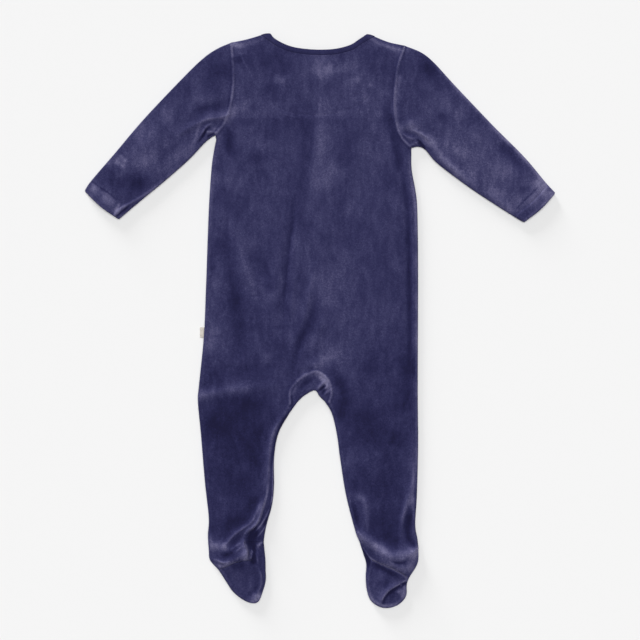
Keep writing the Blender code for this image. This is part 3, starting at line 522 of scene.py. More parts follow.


# A row has the fields of a Crease, in their order. Its number is the seed of its unevenness.
# The value after the width is mostly painted shade in a hollow and a painted highlight on a ridge.
CREASES = tuple(Crease(*row) for row in (
    # the body
    ("over the placket", (-1, 270, -3, 110, -6, -45), 0.9, 20),
    ("long crease", (-27, 150, -33, 116, -38, 80, -41, 40, -43, 0, -42, -24), -1.3, (4, 6), -0.05),
    ("long crease's dark line", (-31, 130, -35, 100, -39, 66, -42, 36, -43.6, 6), -0.5, (1.6, 2.2),
     -0.13),
    ("ridge left of it", (-48, 112, -53, 50, -54, 0), 0.9, 8, 0.02),
    ("ridge right of it", (-28, 74, -32, 36, -36, -2), 0.8, 3.6, 0.05),
    ("crease to the crotch", (-2, 30, -8, 12, -14, -6, -23, -24, -28, -45, -34, -66), -1.2,
     (3.4, 4), -0.12),
    ("ridge beside it", (-6, 70, -12, 34, -20, 0, -32, -30), 0.9, 4, 0.05),
    ("ridge over the gusset", (4, 10, -2, -16, -10, -40), 0.9, (7, 5), 0.04),
    ("left hollow", (-113, 124, -112, 96, -108, 60, -100, 24), -1, 6, -0.08, START),
    ("left waist hollow", (-108, 44, -99, 16, -95, -24, -98, -52), -1.2, (10, 11), -0.12),
    ("left slanting ridge", (-100, 120, -96, 92, -89, 62, -76, 30), 1, 7, 0.06),
    ("beside the slanting ridge", (-82, 92, -68, 60, -54, 34), -1, (10, 11), -0.12),
    ("right hollow", (92, 216, 95.6, 196, 98.6, 178, 101.4, 160, 104, 142, 106, 110, 107.2, 60,
     107.4, -40, 104, -104), -1.5, (2.5, 3.2), -0.2),
    ("right flank", (70, 180, 80, 60, 78, -60), 0.6, (22, 14), 0.02),
    ("left hip ridge", (-142, -90, -112, -85, -84, -81, -50, -78), 1.5, (6, 7), 0.15, FINISH),
    ("left hip hollow", (-140, -62, -110, -62, -66, -54), -0.9, 9, -0.1),
    ("left thigh hollow", (-138, -106, -104, -98, -60, -94), -0.8, (7, 8), -0.05),
    ("seat crease", (-52, -40, -60, -54, -72, -62), -0.5, 6, -0.03),
    ("left facing stitches", (-96, 323, -90, 307, -82, 294, -66, 270, -54, 256, -36, 248, -10, 245,
     16, 247, 40, 254, 60, 268, 66, 290, 74, 314), -0.2, 0.9, 0.03, NEITHER),
    ("left facing line", (-97, 324, -91, 309, -82, 295), 0.15, 1.3, 0.09),
    ("lower facing line", (-64, 263, -50, 250, -34, 244, -10, 242), 0.15, 1, 0.05),
    # under the left arm
    ("left underarm ridge", (-113, 243.6, -124.2, 241.4, -134, 240.3, -145.7, 235, -158, 228.6,
     -172, 220), 1.7, (2.2, 5), 0.07, FINISH),
    ("left underarm light line", (-114, 243.8, -124.2, 241.4, -132.8, 240.5, -140.3, 238.6,
     -146, 234.8), 0.3, (1.1, 1.3), 0.18),
    ("left underarm shade", (-104, 255, -118, 256, -136, 253, -152, 245), -0.8, 6, -0.13),
    ("left underarm fold", (-127.5, 234.6, -132.8, 233.2, -136.9, 229, -140.6, 221.7, -144, 214), 2,
     (1.5, 1.9), 0.24),
    ("left underarm recess", (-131, 232, -134, 230.6, -137.4, 226, -139, 222.6, -143, 216.6,
     -146.4, 211), -2.6, (1.3, 1.6), -0.5),
    ("left underarm tuck", (-135, 225.6, -130, 225.4, -124, 224.6), 1.4, (1.1, 1.3), 0.34, NEITHER),
    ("under the tuck", (-134, 220, -131, 221.8, -128, 223), -1, 0.9, -0.34, NEITHER),
    ("beside the left tuck", (-128, 231, -124, 227.6), 0.6, 2, 0.1),
    # under the right arm
    ("right underarm line", (107, 230, 113.5, 226.6, 120.5, 223.4, 127, 219, 132, 212), 1.5,
     (1.2, 1.8), 0.34),
    ("right underarm band", (121, 226.6, 129, 220, 136, 210, 142, 200, 150, 190.4, 160, 180.6,
     172, 169.6, 190, 157), 1.5, (4.6, 5.4), 0.3),
    ("right underarm crown", (98, 236, 106, 234.6, 122, 230), 1, (7, 5), 0.17),
    ("right underarm hollow", (99, 228, 105, 224, 113, 221), -1.1, 2.2, -0.07),
    ("right underarm curve", (99.6, 222.6, 106.6, 218, 115.6, 217.2), 1, (1, 1.2), 0.22),
    ("right underarm recess", (116.8, 216, 120.4, 211.6, 124.6, 206.4), -2.8, (1.4, 1.9), -0.6,
     START),
    ("right underarm tuck", (109.4, 209.4, 113.4, 211.6, 117.7, 213.6), 1.2, 0.9, 0.3, NEITHER),
    ("right lower sleeve edge", (126, 210, 136, 197, 148, 184, 164, 172, 184, 157), -0.2, 1.4,
     -0.06),
    # the sleeves
    ("right sleeve hollow", (206, 214, 222, 203, 238, 187, 246, 174), -1.2, (8, 7), -0.14),
    ("right cuff ridge", (196, 152, 216, 140, 238, 124), 0.9, 5, 0.13),
    ("left sleeve ridge", (-190, 232, -212, 206, -236, 176), 0.9, (13, 11), 0.02),
    ("left cuff hollow", (-250, 172, -230, 160, -206, 162), -1.1, 9, -0.16),
    ("left sleeve seam", (-176, 175.6, -206, 153, -226, 140.6, -236, 135), 0.9, (1.5, 1.2), 0.13,
     START),
    ("left cuff seam", (-229, 139.6, -236.6, 135, -240.8, 131.6, -245.8, 126), 1.2, (1.9, 1.3), 0.4,
     START),
    ("under the left cuff seam", (-226, 138, -232, 133.8, -238, 129, -244.4, 123.6), -1, 0.7, -0.34,
     START),
    # the left leg and foot
    ("left shin hollow", (-100, -150, -98, -190, -96, -236), -1.2, 14, -0.03),
    ("left inner ridge", (-36, -104, -50, -122, -59, -146, -62.4, -170, -63.4, -190, -64.6, -206),
     1.1, (3.4, 3.6), 0.2),
    ("left calf fold", (-66, -212, -71.6, -223, -76.6, -233, -81, -241.4, -92, -249, -103, -256.6,
     -110, -265, -118, -272), 3, 3.6, 0.08),
    ("left calf light line", (-69, -212, -73.6, -224, -78, -235, -82, -242, -92, -249.2, -103, -257,
     -110, -265.4, -116, -270), 0.6, (1.4, 1.7), 0.26),
    ("left ankle edge", (-66, -212, -69.2, -226, -72.6, -238, -78.6, -247, -86, -252.6,
     -90.2, -258.6, -91.6, -265), 3.4, (1.2, 3), 0.34),
    ("left ankle edge's light line", (-64.6, -214, -68.4, -228, -71.8, -239, -77.6, -247.4,
     -85.6, -253), 0.2, 0.9, 0.14),
    ("left ankle recess", (-75, -248, -80, -257, -82.6, -265, -80.4, -272), -3.4, (4.2, 4), -0.6),
    ("left ankle slot", (-81, -266, -79.6, -276, -79.6, -289), -3.4, (3, 2.8), -0.6, START),
    ("left ankle pleat", (-62.4, -229, -66.4, -236, -70.6, -246.6, -75.6, -258), 1.2, 1.1, 0.16),
    ("left ankle flap", (-92, -262, -88.8, -269, -87, -276, -87.4, -282), 3.6, (1.6, 6.5), 0.32,
     START),
    ("left ankle fold", (-81.6, -272, -81, -280, -82.6, -287), 1.2, 0.9, 0.2),
    ("left foot ridge", (-77.7, -272.6, -73.6, -270, -68.6, -265.4), 2, 1.4, 0.24),
    ("left foot edge", (-77, -274, -75.4, -282, -73.6, -294), 1.6, (1.1, 2.2), 0.2),
    ("left calf hollow", (-92, -256, -101, -264, -107, -271), -0.9, 3, -0.08),
    ("left heel hollow", (-103, -278, -111, -282, -119, -282), -2.6, (2.6, 2.8), -0.3),
    ("left heel crown", (-131, -267, -122, -271, -108, -272), 1.6, 5, 0.42),
    ("left heel pleat", (-108, -275, -100, -270, -93, -265), 0.6, 1.1, 0.2),
    ("second left heel pleat", (-104, -279, -97, -274, -91, -269.4), 0.6, 1, 0.18),
    ("left heel gather", (-131, -285, -123.7, -287.8, -114.9, -290.3, -106.2, -288.4, -97, -284.4),
     1.5, (1.3, 1.4), 0.32),
    ("left heel side", (-132, -252, -131, -264, -127, -286), 1, 3, 0.2),
    ("left sole roll", (-73, -296, -70.4, -306, -69.6, -316, -73, -325), 1.2, (1.3, 1.5), 0.18),
    ("left toe", (-75, -328, -78, -337), 1.2, (4.4, 5), 0.36),
    ("left sole fold", (-74, -316, -80, -325, -86, -331), -0.8, 3, -0.16),
    # the right leg and foot
    ("right shin band", (46, -207, 53, -217, 54.6, -238, 56, -256), 1.1, (4.4, 4), 0.17),
    ("right shin edge", (38, -214, 41.6, -228, 44.6, -242, 47, -252), -1, (2.6, 2.2), -0.2),
    ("right shin hollow", (84, -150, 84, -200, 80, -258), -1.2, (17, 14), -0.06),
    ("above the right heel", (74, -256, 86, -264, 98, -268), -1.3, (6, 5), -0.18),
    ("right heel ridge", (47, -257, 57.9, -264.6, 68.2, -273, 76.9, -278.8, 85, -281.6,
     97.4, -281.8, 109.1, -279, 117, -275), 3.8, (5, 6.5), 0.26, NEITHER),
    ("right heel crown", (64, -266, 73, -273, 82, -279), 1.2, 4.5, 0.3),
    ("right heel back", (92, -296, 104, -298, 111, -290), 1.2, (5, 6), 0.24),
    ("right ankle line", (111, -192, 106, -212, 101.4, -228, 98.2, -244, 97, -262), 1.7, (2.6, 3),
     0.2),
    ("right ankle hollow", (110.6, -226, 106.6, -238, 105.6, -250, 107.2, -262, 113.4, -270), -2.4,
     (3.2, 3.8), -0.34, START),
    ("right ankle rim", (113, -168, 112, -196, 110.6, -216, 113.6, -240, 115.4, -262), 0.3,
     (2, 2.6), 0.2),
    ("right heel dimple", (86, -287.6, 91, -290.2, 97, -290.8, 103, -288.8), -1.5, (1.2, 1.4),
     -0.26),
    ("right heel spot", (95, -286.6, 104, -285.6), 0.8, 1.4, 0.16),
    ("right heel recess", (50.4, -271, 55, -281, 58.4, -289, 57, -297), -3.2, (2.2, 2.4), -0.5),
    ("right toe fold", (105, -310, 94.5, -316.4, 84.2, -322.4, 77.7, -329, 74.2, -338), 2.3,
     (1, 4.2), 0.05, NEITHER),
    ("right toe light line", (104, -311, 94.5, -317, 84.2, -323, 77.4, -329.6, 73.6, -338), 0.3,
     (0.9, 1), 0.36, NEITHER),
    ("right toe tuck", (101.4, -315.2, 92, -320.2, 83, -326.2, 78, -332.4, 75.4, -338), -2.8,
     (2, 1.2), -0.42, NEITHER),
    ("right toe pleat", (98, -321, 93, -327, 89, -334), 1.2, 3.4, 0.2),
    # the gusset
    ("gusset crumple", (8, -72, 4, -75, -1, -80, -4, -83.6), 1.8, (2.2, 1.6), 0.26),
    ("gusset seam's roll", (-33, -88, -24, -72, -5, -64, 7, -71, 11, -84), 0.5, 2.6, 0.2, NEITHER),
    ("gusset hook", (7.6, -75, 9, -79, 5.4, -82.8), 1.2, 0.9, 0.24),
    ("gusset crease", (6.4, -77.6, 2.6, -81.6, -3, -85.6), -2.4, 1, -0.45),
    ("gusset pleat", (9.6, -85, 6.4, -88.4, 3.4, -92), 1.2, 0.9, 0.12),
    ("gusset pocket", (6.6, -83, 3.6, -87, 3.4, -91), -1.2, 1.2, -0.2),
    ("gusset hollow", (-26, -84, -18, -76, -8, -72), -1, (4, 3.4), -0.12),
    ("gusset fold", (-6, -73, -15, -78, -22, -86), 0.7, 1, 0.12),
    ("second gusset fold", (-4, -78, -13, -82, -19, -88), 0.7, 1, 0.1),
    ("ridge above the gusset", (-18, -52, -8, -54, 4, -54), 0.9, (6, 5), 0.1),
))

# Marks of light and dark in the colour. They don't raise the cloth, so their rows have no rise.
# Some are the pile's own tone; many are painted shade beside folds and seams, painted shadow under
# the heels' lips, and painted highlights along rims, lips and ridges.
TONE_AND_PAINTED_LIGHT_MARKS = tuple(Crease(name, line, 0, *rest) for name, line, *rest in (
    ("placket light", (-4, 296, -4, 240, -6, 214, -14, 152, -21, 100), (22, 3.2), 0.095),
    ("placket shade", (-5, 296, -5, 240, -7, 214, -15, 152, -22, 100), (3.2, 20), -0.06),
    ("placket ridge", (-1, 236, -3, 212, -9, 170, -14, 140), (7, 3.4), 0.05),
    ("yoke's lower edge", (84, 240, 30, 241, -30, 241, -106, 239), (12, 3.4), -0.04, NEITHER),
    ("over the lower edge", (80, 243, 30, 244, -30, 244, -104, 243), (3.4, 12), 0.03, NEITHER),
    ("yoke band", (-36, 303, -10, 300, 14, 298, 36, 302, 52, 306), (7, 6), 0.09),
    ("middle of the yoke", (-4, 322, 2, 306, 8, 290), 20, 0.09),
    ("middle spot", (-4, 293, 6, 290, 16, 285), 8, 0.1),
    ("upper back", (-40, 276, 0, 272, 62, 276), (24, 26), 0.03, NEITHER),
    ("left of the yoke", (-58, 290, -46, 287, -40, 285), 5, 0.14),
    ("right of the yoke", (37, 287, 45, 288, 50, 286), 4.6, 0.15),
    ("right yoke spot", (60, 286, 61, 278), 3, 0.14),
    ("right yoke light", (40, 270, 50, 266, 62, 264), 7, 0.09),
    ("left yoke light", (-70, 258, -60, 254, -48, 257), 7, 0.05),
    ("left yoke shade", (-72, 278, -60, 276, -46, 277), 6, -0.06),
    ("left neck shade", (-92, 310, -78, 308, -58, 318), 10, -0.08),
    ("right neck shade", (44, 312, 56, 318, 68, 310), 9, -0.08),
    ("left shoulder light", (-106, 330, -96, 328, -84, 331, -70, 336), 3.2, 0.13, NEITHER),
    ("right shoulder light", (60, 338, 72, 331, 85.5, 326, 96, 323.6), (2.8, 2.6), 0.16, NEITHER),
    ("left shoulder spots", (-102, 330, -96, 329), 3.4, 0.2, NEITHER),
    ("below the left shoulder", (-98, 318, -95, 306), 6, -0.18),
    ("right shoulder corner", (104, 326, 106, 320), 3, 0.14),
    ("left blade light", (-92, 262, -84, 254), 8, 0.09),
    ("left armhole light", (-98, 290, -100, 262, -104, 250, -114, 238, -124, 231), 5, 0.12),
    ("left of centre", (-30, 296, -28, 262, -20, 240, -19, 214), 8, -0.07),
    ("centre light", (6, 196, 10, 172, 8, 148), 12, 0.09),
    ("centre side light", (2, 72, 6, 50, 12, 26, 10, -10), 16, 0.11),
    ("lower centre light", (-8, 64, -10, 34), 5, 0.05),
    ("right light field", (40, 190, 50, 110, 50, 40), (30, 26), 0.03),
    ("left blade shade", (-112, 234, -110, 220, -107, 204, -98, 196), (5, 6), -0.24),
    ("left chest shade", (-92, 196, -72, 194, -66, 188), (5, 6), -0.08),
    ("lower chest shade", (-100, 186, -90, 180), 7, -0.05),
    ("left chest light", (-76, 216, -66, 206, -56, 200), 8, 0.08),
    ("left waist light", (-116, 170, -92, 160), 9, 0.04),
    ("left edge light", (-119, 228, -122, 206, -130, 150, -131, 110), 3, 0.06),
    ("left flank light", (-116, 84, -122, 58, -128, 36), 8, 0.09),
    ("left hip light", (-132, 4, -130, -20, -132, -44), 9, 0.13),
    ("left hip shade", (-104, 30, -98, 4), 10, -0.1),
    ("second left belly shade", (-50, -4, -48, -14), 6, -0.1),
    ("left belly shade", (-58, 42, -60, 30), 6, -0.1),
    ("right spot", (28, 84, 31, 79), 4, 0.06),
    ("right armpit shade", (78, 262, 83, 246, 86, 232, 91, 210, 93, 190, 98, 176), 6, -0.18),
    # painted highlights along the garment's right-hand rims
    ("right rim", (107.2, 202, 108, 184, 110, 168, 112.6, 150, 114.6, 132, 115.6, 100), 2.2, 0.3),
    ("right armhole light", (94.6, 290, 90.6, 262, 91.4, 240, 96, 227), (3.4, 3.6), 0.2, NEITHER),
    ("lower right rim", (115.4, 110, 115.8, 0, 115.6, -200), 2, 0.16, NEITHER),
    ("left rim", (-128, 196, -132, 130, -136, 30, -139, -22), 2, 0.05, NEITHER),
    ("over the gusset", (2, -44, 14, -44, 30, -50), 9, 0.08),
    ("gusset light", (-10, -57, 0, -58), (4, 5), 0.07),
    ("left of the gusset's seam", (-24, -66, -14, -62.6), 3, 0.1),
    ("gusset glow", (-3, -66, 4, -71.6, 9, -79), 2.8, 0.28),
    ("beside the gusset", (17, -64, 23, -74, 27, -88, 25, -112), (8, 6), -0.18, NEITHER),
    ("above the gusset", (-2, -47, 10, -45, 22, -38), 6, 0.09),
    ("right seat shade", (60, -20, 72, -60, 72, -120), 26, -0.09),
    ("crotch crease shade", (-4, 6, -9, -8, -14, -20), 4.4, -0.14),
    ("left seat light", (-65, -32, -63, -44, -61, -54), 8, 0.14),
    ("under the hip ridge", (-104, -103, -84, -102, -58, -103), (6, 7), -0.14),
    ("inner seat light", (-34, -6, -33, -34), 4.4, 0.09),
    ("long crease's foot", (-42, 26, -39, 12, -38, -2), 5, -0.12),
    ("right thigh shade", (106, -30, 106, -70, 100, -116), (10, 12), -0.22),
    ("right knee shade", (54, -108, 60, -130, 62, -150), 12, -0.12),
    ("right outer knee shade", (88, -128, 94, -142, 92, -154), 10, -0.12),
    ("left thigh shade", (-136, -112, -122, -126, -112, -140), 18, -0.16),
    ("left knee shade", (-76, -128, -66, -134), 10, -0.1),
    ("left thigh", (-108, -110, -84, -130), 22, -0.06),
    ("left leg", (-96, -120, -100, -170, -102, -240), 44, -0.135, NEITHER),
    ("left outer leg", (-130, -160, -128, -200, -126, -246), 12, -0.06),
    ("left shin shade", (-82, -148, -80, -162, -79, -176), 6, -0.16),
    ("above the left ankle", (-128, -244, -108, -242, -84, -233), 7, -0.14),
    ("left calf light", (-100, -168, -88, -188), 9, 0.07),
    ("behind the left calf fold", (-76, -208, -81, -222, -87, -236), (4.5, 6), -0.16),
    ("right leg", (64, -130, 74, -180, 80, -246), 40, -0.09, NEITHER),
    ("inside the right thigh shade", (94, -96, 96, -120), 10, -0.08),
    ("right inner leg", (34, -150, 38, -166, 42, -176), 7, 0.06),
    ("above the shin patch", (38, -186, 48, -198, 54, -202), 6, -0.04),
    ("right shin patch", (46, -210, 51, -214), 4, 0.16, NEITHER),
    ("right ankle light", (108, -208, 110, -224), 6, 0.12),
    ("left inside strip", (-30, -104, -43, -120, -51.6, -140, -56, -166, -57, -200, -60.4, -226,
     -66, -244), 1.8, -0.22, NEITHER),
    ("left inside light", (-54, -150, -56.4, -176, -56.8, -204, -59, -222), 0.9, 0.5),
    ("left calf's joining line", (-61.8, -196, -63.6, -208, -66, -218, -69, -227), 1.3, 0.3),
    ("left ankle's inner thread", (-57, -212, -60, -224, -65, -236.4, -72, -247, -79, -255), 0.9,
     0.34, NEITHER),
    ("left ankle's outer thread", (-58.6, -230, -63, -243, -70, -254, -76, -261), 0.8, 0.3,
     NEITHER),
    ("left pocket's fold", (-80.4, -270, -81.4, -277, -83, -285), 1.4, 0.4, NEITHER),
    ("left pocket's wedge", (-70.4, -266.4, -73, -269, -76, -274), 1.8, 0.26, NEITHER),
    ("left cap shade", (-116, 312, -130, 288, -128, 264), 13, -0.11),
    ("left forearm spot", (-238, 196, -233, 191), 1.7, 0.22, NEITHER),
    ("left forearm patch", (-243, 189, -236, 184), 2, 0.2, NEITHER),
    ("left forearm haze", (-256, 188, -246, 190, -236, 190), 5, 0.12, NEITHER),
    ("left forearm light", (-232, 192, -210, 192, -190, 206), 9, 0.1),
    ("left upper arm light", (-196, 252, -184, 248, -172, 256), 11, 0.05),
    ("left forearm shade", (-236, 172, -216, 166, -202, 170), 7, -0.12),
    ("left sleeve middle", (-146, 254, -190, 216, -226, 188), 26, 0.05, NEITHER),
    ("left cuff", (-270, 158, -260, 150, -252, 143), 7, 0.27, NEITHER),
    ("left cuff's lower corner", (-241, 138, -245, 130), 2.2, 0.3, NEITHER),
    ("left cuff's corner", (-278, 156, -272, 160), 4, 0.04, NEITHER),
    ("left cuff's stitched line", (-273, 166, -263, 158.6, -250, 149.6, -244, 144.4), 0.9, -0.2,
     NEITHER),
    ("left cuff end", (-281, 152, -262, 135, -246, 121), 2.2, 0.16, NEITHER),
    ("left cuff's under edge", (-242, 121.6, -236, 126, -228, 132), 0.9, 0.2),
    ("left lower sleeve rim", (-160, 190, -176, 176, -204, 154, -232, 134), 3, 0.12),
    ("left sleeve underside", (-134, 228, -150, 212, -176, 190, -200, 172), 8, 0.11),
    ("left underarm inner light", (-130, 231, -124, 228, -119, 231), 2, 0.12),
    ("left underarm lower light", (-141, 237, -146, 229, -149, 217, -154, 204), (2.2, 2.4), 0.14),
    ("right cap shade", (110, 318, 128, 306, 146, 286, 150, 270), 10, -0.16),
    ("right sleeve shade", (140, 248, 148, 242, 156, 240), 6.5, -0.15),
    ("right sleeve haze", (148, 262, 164, 248, 176, 232), 9, 0.06),
    ("right sleeve light", (176, 230, 194, 216, 212, 200), 13, 0.09),
    ("right lower sleeve", (172, 178, 196, 162, 226, 142), (9, 8), 0.14, FINISH),
    ("right sleeve underside", (120, 226, 146, 210, 172, 198, 200, 190, 224, 172), 9, 0.1),
    ("right lower sleeve spot", (182, 182, 196, 174), 8, 0.1, NEITHER),
    ("right sleeve end", (204, 186, 218, 176, 232, 164), 12, 0.11),
    ("right sleeve middle", (136, 262, 185, 215, 238, 168), 30, 0.05, NEITHER),
    ("right cuff light", (229, 140, 246, 141, 264, 152), 12, 0.17, NEITHER),
    ("right cuff spots", (240, 125, 248, 126), 3.4, -0.03, NEITHER),
    ("right cuff's stitched line", (268, 166, 258, 156, 247, 145.4, 235, 133), 0.9, -0.18, NEITHER),
    ("right cuff shade", (236, 157, 246, 156, 254, 158), 4, -0.1),
    ("right cuff edge", (262, 163, 276, 152), 6, 0.24, NEITHER),
    ("right cuff end", (281, 150, 262, 133, 247, 119), 2.4, 0.16, NEITHER),
    ("right sleeve rim", (128, 314, 150, 293, 206, 233, 244, 195, 271, 163), 2.6, 0.3, START),
    ("right underarm corner", (122, 222, 127, 216, 131, 212), 4, 0.24, NEITHER),
    ("right underarm light", (98, 232, 108, 230, 116, 224), 5, 0.12, NEITHER),
    # painted shadow under the heels' lips and painted highlights on lips, heels and toes, with some
    # of the pile's own tone
    ("sole shade left", (-108, -296, -96, -294, -86, -293), 4, -0.12),
    ("left sole", (-96, -312, -84, -306), 14, -0.02),
    ("sole shade right", (60, -291, 68, -294.6, 80, -300.6, 97, -308.4), 3, -0.26),
    ("right sole", (72, -312, 80, -322), 12, -0.08),
    ("right sole rim", (56, -318, 62, -334, 74, -342, 90, -342), 2.4, 0.14),
    ("right toe end", (100.6, -315, 101.6, -324, 98, -336), 3.6, 0.3),
    ("right toe lower end", (78, -341, 90, -341.6, 98, -336), 3, 0.16),
    ("left heel lip", (-128, -290, -119, -295, -107, -291, -96, -288), (2, 2.4), 0.3),
    ("left flap hem", (-98, -285, -92, -285.8, -86.6, -286), 1.5, 0.3, NEITHER),
    ("left toe light", (-80, -327, -77.4, -335), 4.2, 0.06, NEITHER),
    ("left toe end", (-84, -338.4, -77, -337, -72, -329), 2.4, 0.2, NEITHER),
    ("left flap light", (-93, -274, -91.6, -281), 4.6, 0.05, NEITHER),
    ("right heel underside", (72, -287, 84, -291.6, 100, -297), 3.6, 0.14),
    ("right heel lip", (52, -273, 59, -284, 68, -290, 82, -296, 94, -302, 103, -308), 1.2, 0.4,
     NEITHER),
    ("right heel side", (114, -272, 112.6, -284, 108, -298), 4, 0.24),
    ("right toe dark", (92, -325, 90, -334), 4, -0.2),
))

# Shallow folds on the hidden side, which open upwards.
HIDDEN = tuple(Crease(*row) for row in (
    ("front, left chest", (-90, 200, -60, 150, -52, 80), 0.5, (6, 9)),
    ("front, left hip", (-120, -40, -90, -70, -50, -80), 0.5, 6),
    ("front, right chest", (84, 230, 60, 170, 46, 110), 0.5, (8, 6)),
    ("front, right waist", (100, 40, 60, 10, 30, -30), 0.5, (6, 8)),
    ("front, left knee", (-120, -160, -96, -176, -70, -168), 0.5, (5, 7)),
    ("front, right knee", (46, -170, 70, -190, 100, -180), 0.5, (6, 5)),
    ("front, left elbow", (-180, 250, -190, 214, -182, 180), 0.5, (5, 7)),
    ("front, right elbow", (176, 240, 190, 206, 184, 172), 0.5, (6, 5)),
    ("front, left ankle", (-120, -262, -100, -272, -80, -268), 0.5, 4),
    ("front, right ankle", (60, -258, 82, -268, 106, -262), 0.5, 4),
    ("left instep", (-112, -300, -96, -304, -80, -298), 0.5, 3),
    ("right instep", (62, -300, 80, -308, 96, -304), 0.5, 3),
))


class Lay:
    """The edges and seams of the laid garment, and the height of its two layers inside them."""

    def __init__(self, halves: Sequence[Pattern]) -> None:
        """Gathers the lines of both sides."""
        self.halves = halves
        self.edges: list[Array] = []
        self.seams: dict[Layer, list[Seam]] = {Layer.UPPER: [], Layer.LOWER: []}
        for half in halves:
            self.add_side(half)
        front, back = (
            joined(*(spaced(smooth(half.neck_seam(rows), DRAWN_STEPS))[::step]
                     for half, step in zip(halves, (1, -1))))
            for rows in (halves[0].front_neck, halves[0].back_neck))
        gusset = spaced(curve(halves[0].gusset, 40), LAY_STEP)
        self.seams[Layer.UPPER] += [Seam(back, ridge=0.2, groove=0.2, nap_and_painted_light=0.02),
                                    Seam(gusset, ridge=0.9, nap_and_painted_light=0.22, width=1.9)]
        self.seams[Layer.LOWER] += [Seam(front), Seam(gusset), Seam(spaced(centre_line(halves)))]
        self.edges.append(spaced(curve(halves[0].crotch, 20), 4))

    def add_side(self, half: Pattern) -> None:
        """Adds the edges and seams of one side."""
        sleeve, side, inside = half.sleeves(), half.sides(), half.inseams()
        foot, shoulder = half.feet(), half.shoulders()
        outer = [rows[:, :2] for rows in (sleeve, side, inside, foot, shoulder)]
        neck = smooth(half.neck(half.back_neck), 4)
        self.edges += [spaced(line, EDGE_STEP) for line in (*outer, sleeve[:, 2:], neck)]
        armhole = spaced(half.armhole_line(), LAY_STEP)
        upper = self.seams[Layer.UPPER]
        upper.append(Seam(armhole, ridge=0.8, nap_and_painted_light=0.2))
        for line, ridge, groove, nap_and_painted_light in (
                (side, 0.3, 0.2, 0.035), (inside, 0.4, 0.2, 0.06), (shoulder, 0.25, 0.15, 0.03),
                (foot[HEEL:-HEEL], 0.5, 0.2, 0.07)):
            upper.append(Seam(spaced(line[:, 2:], LAY_STEP), ridge, groove, nap_and_painted_light))
        upper.append(Seam(half.heel_line(), ridge=0.0, groove=1.2, nap_and_painted_light=0.0))
        ankle = np.array([side[-1, :2], inside[-1, :2]])
        self.seams[Layer.LOWER] += [Seam(armhole), Seam(ankle)]

    def from_edge(self, places: Array, reach: float = math.inf) -> Array:
        """Returns the distance from each place to the garment's nearest edge."""
        return np.min([nearest(places, line, reach)[0] for line in self.edges], axis=0)

    def upper(self, places: Array) -> Array:
        """Returns the height of the upper layer's outer face at each place."""
        edge = self.from_edge(places)
        height = EDGE + LOFT * (1 - np.exp(-edge / LOFT_REACH))
        folds = SWELL.at(places) + RUMPLE.at(places)
        for seed, crease in enumerate(CREASES):
            folds += crease.rise * crease.shape(places, seed)
        height += np.clip(edge / EDGE, 0, 1) * folds
        for seam in self.seams[Layer.UPPER]:
            height += seam.height(places)
        return LOWEST + np.logaddexp(0, (height - LOWEST) * LOWEST_BEND) / LOWEST_BEND

    def lower(self, places: Array) -> Array:
        """Returns the height of the lower layer's outer face, which is the underside."""
        height = np.zeros(len(places))
        for seed, crease in enumerate(HIDDEN):
            height += crease.rise * crease.shape(places, seed)
        for seam in self.seams[Layer.LOWER]:
            off = nearest(places, seam.line, DIP_REACH)[0]
            height = np.maximum(height, SEAM_DIP * bell(off, 1.0))
        edge = self.from_edge(places, FOLD_REACH)
        return height * np.clip((edge - FOLD_RADIUS) / EDGE, 0, 1)

    def nap_and_painted_light(self, places: Array, layer: Layer = Layer.UPPER) -> Array:
        """Returns how far the colour is made lighter, or darker where negative, at each place: on
        the upper layer the pile's own tone with painted shade and painted highlights, on the lower
        one the pile's tone only.
        """
        if layer is Layer.LOWER:
            return NAP_BELOW.at(places)
        nap_and_painted_light = NAP_CLOUDS.at(places)
        for seed, crease in enumerate(CREASES + TONE_AND_PAINTED_LIGHT_MARKS):
            nap_and_painted_light += crease.nap_and_painted_light * crease.shape(places, seed)
        for seam in self.seams[Layer.UPPER]:
            nap_and_painted_light += seam.pile_and_painted_light(places)
        return NAP_AND_LIGHT_LIMIT * np.tanh(nap_and_painted_light / NAP_AND_LIGHT_LIMIT)

    def over(self, places: Array, lift: float | Array = 0.0) -> Array:
        """Returns rows of outer and inner point of the upper layer at each place."""
        height = self.upper(places) + lift
        return np.column_stack([places, height, places, height - CLOTH])

    def under(self, places: Array) -> Array:
        """Returns rows of outer and inner point of the lower layer at each place."""
        height = self.lower(places)
        return np.column_stack([places, height, places, height + CLOTH])

    def turn(self, lower: Array, upper: Array, edge: Array, lift: float | Array = 0.0) -> Array:
        """Turns the cloth round an edge.

        Args:
            lower: Places where it leaves the lower layer.
            upper: Places where it reaches the upper one.
            edge: Places on the edge.
            lift: Added to the upper layer's height.

        Returns:
            A grid with a row for each place and TURN_STEPS + 1 columns of outer and inner point.
        """
        height = (self.upper(upper) + lift)[:, None]
        angle = np.linspace(0, math.pi, TURN_STEPS + 1)
        share, bend = (1 - np.cos(angle)) / 2, np.sin(angle)[None, :, None]
        middle = across(lower, upper, share)
        reach = edge[:, None] - middle
        far = np.linalg.norm(reach, axis=-1, keepdims=True)
        outer, inner = middle + reach * bend, middle + reach * bend * (1 - CLOTH / far)
        high = height * share[None]
        behind = CLOTH + (height - 2 * CLOTH) * share[None]
        return np.concatenate([outer, high[..., None], inner, behind[..., None]], axis=-1)

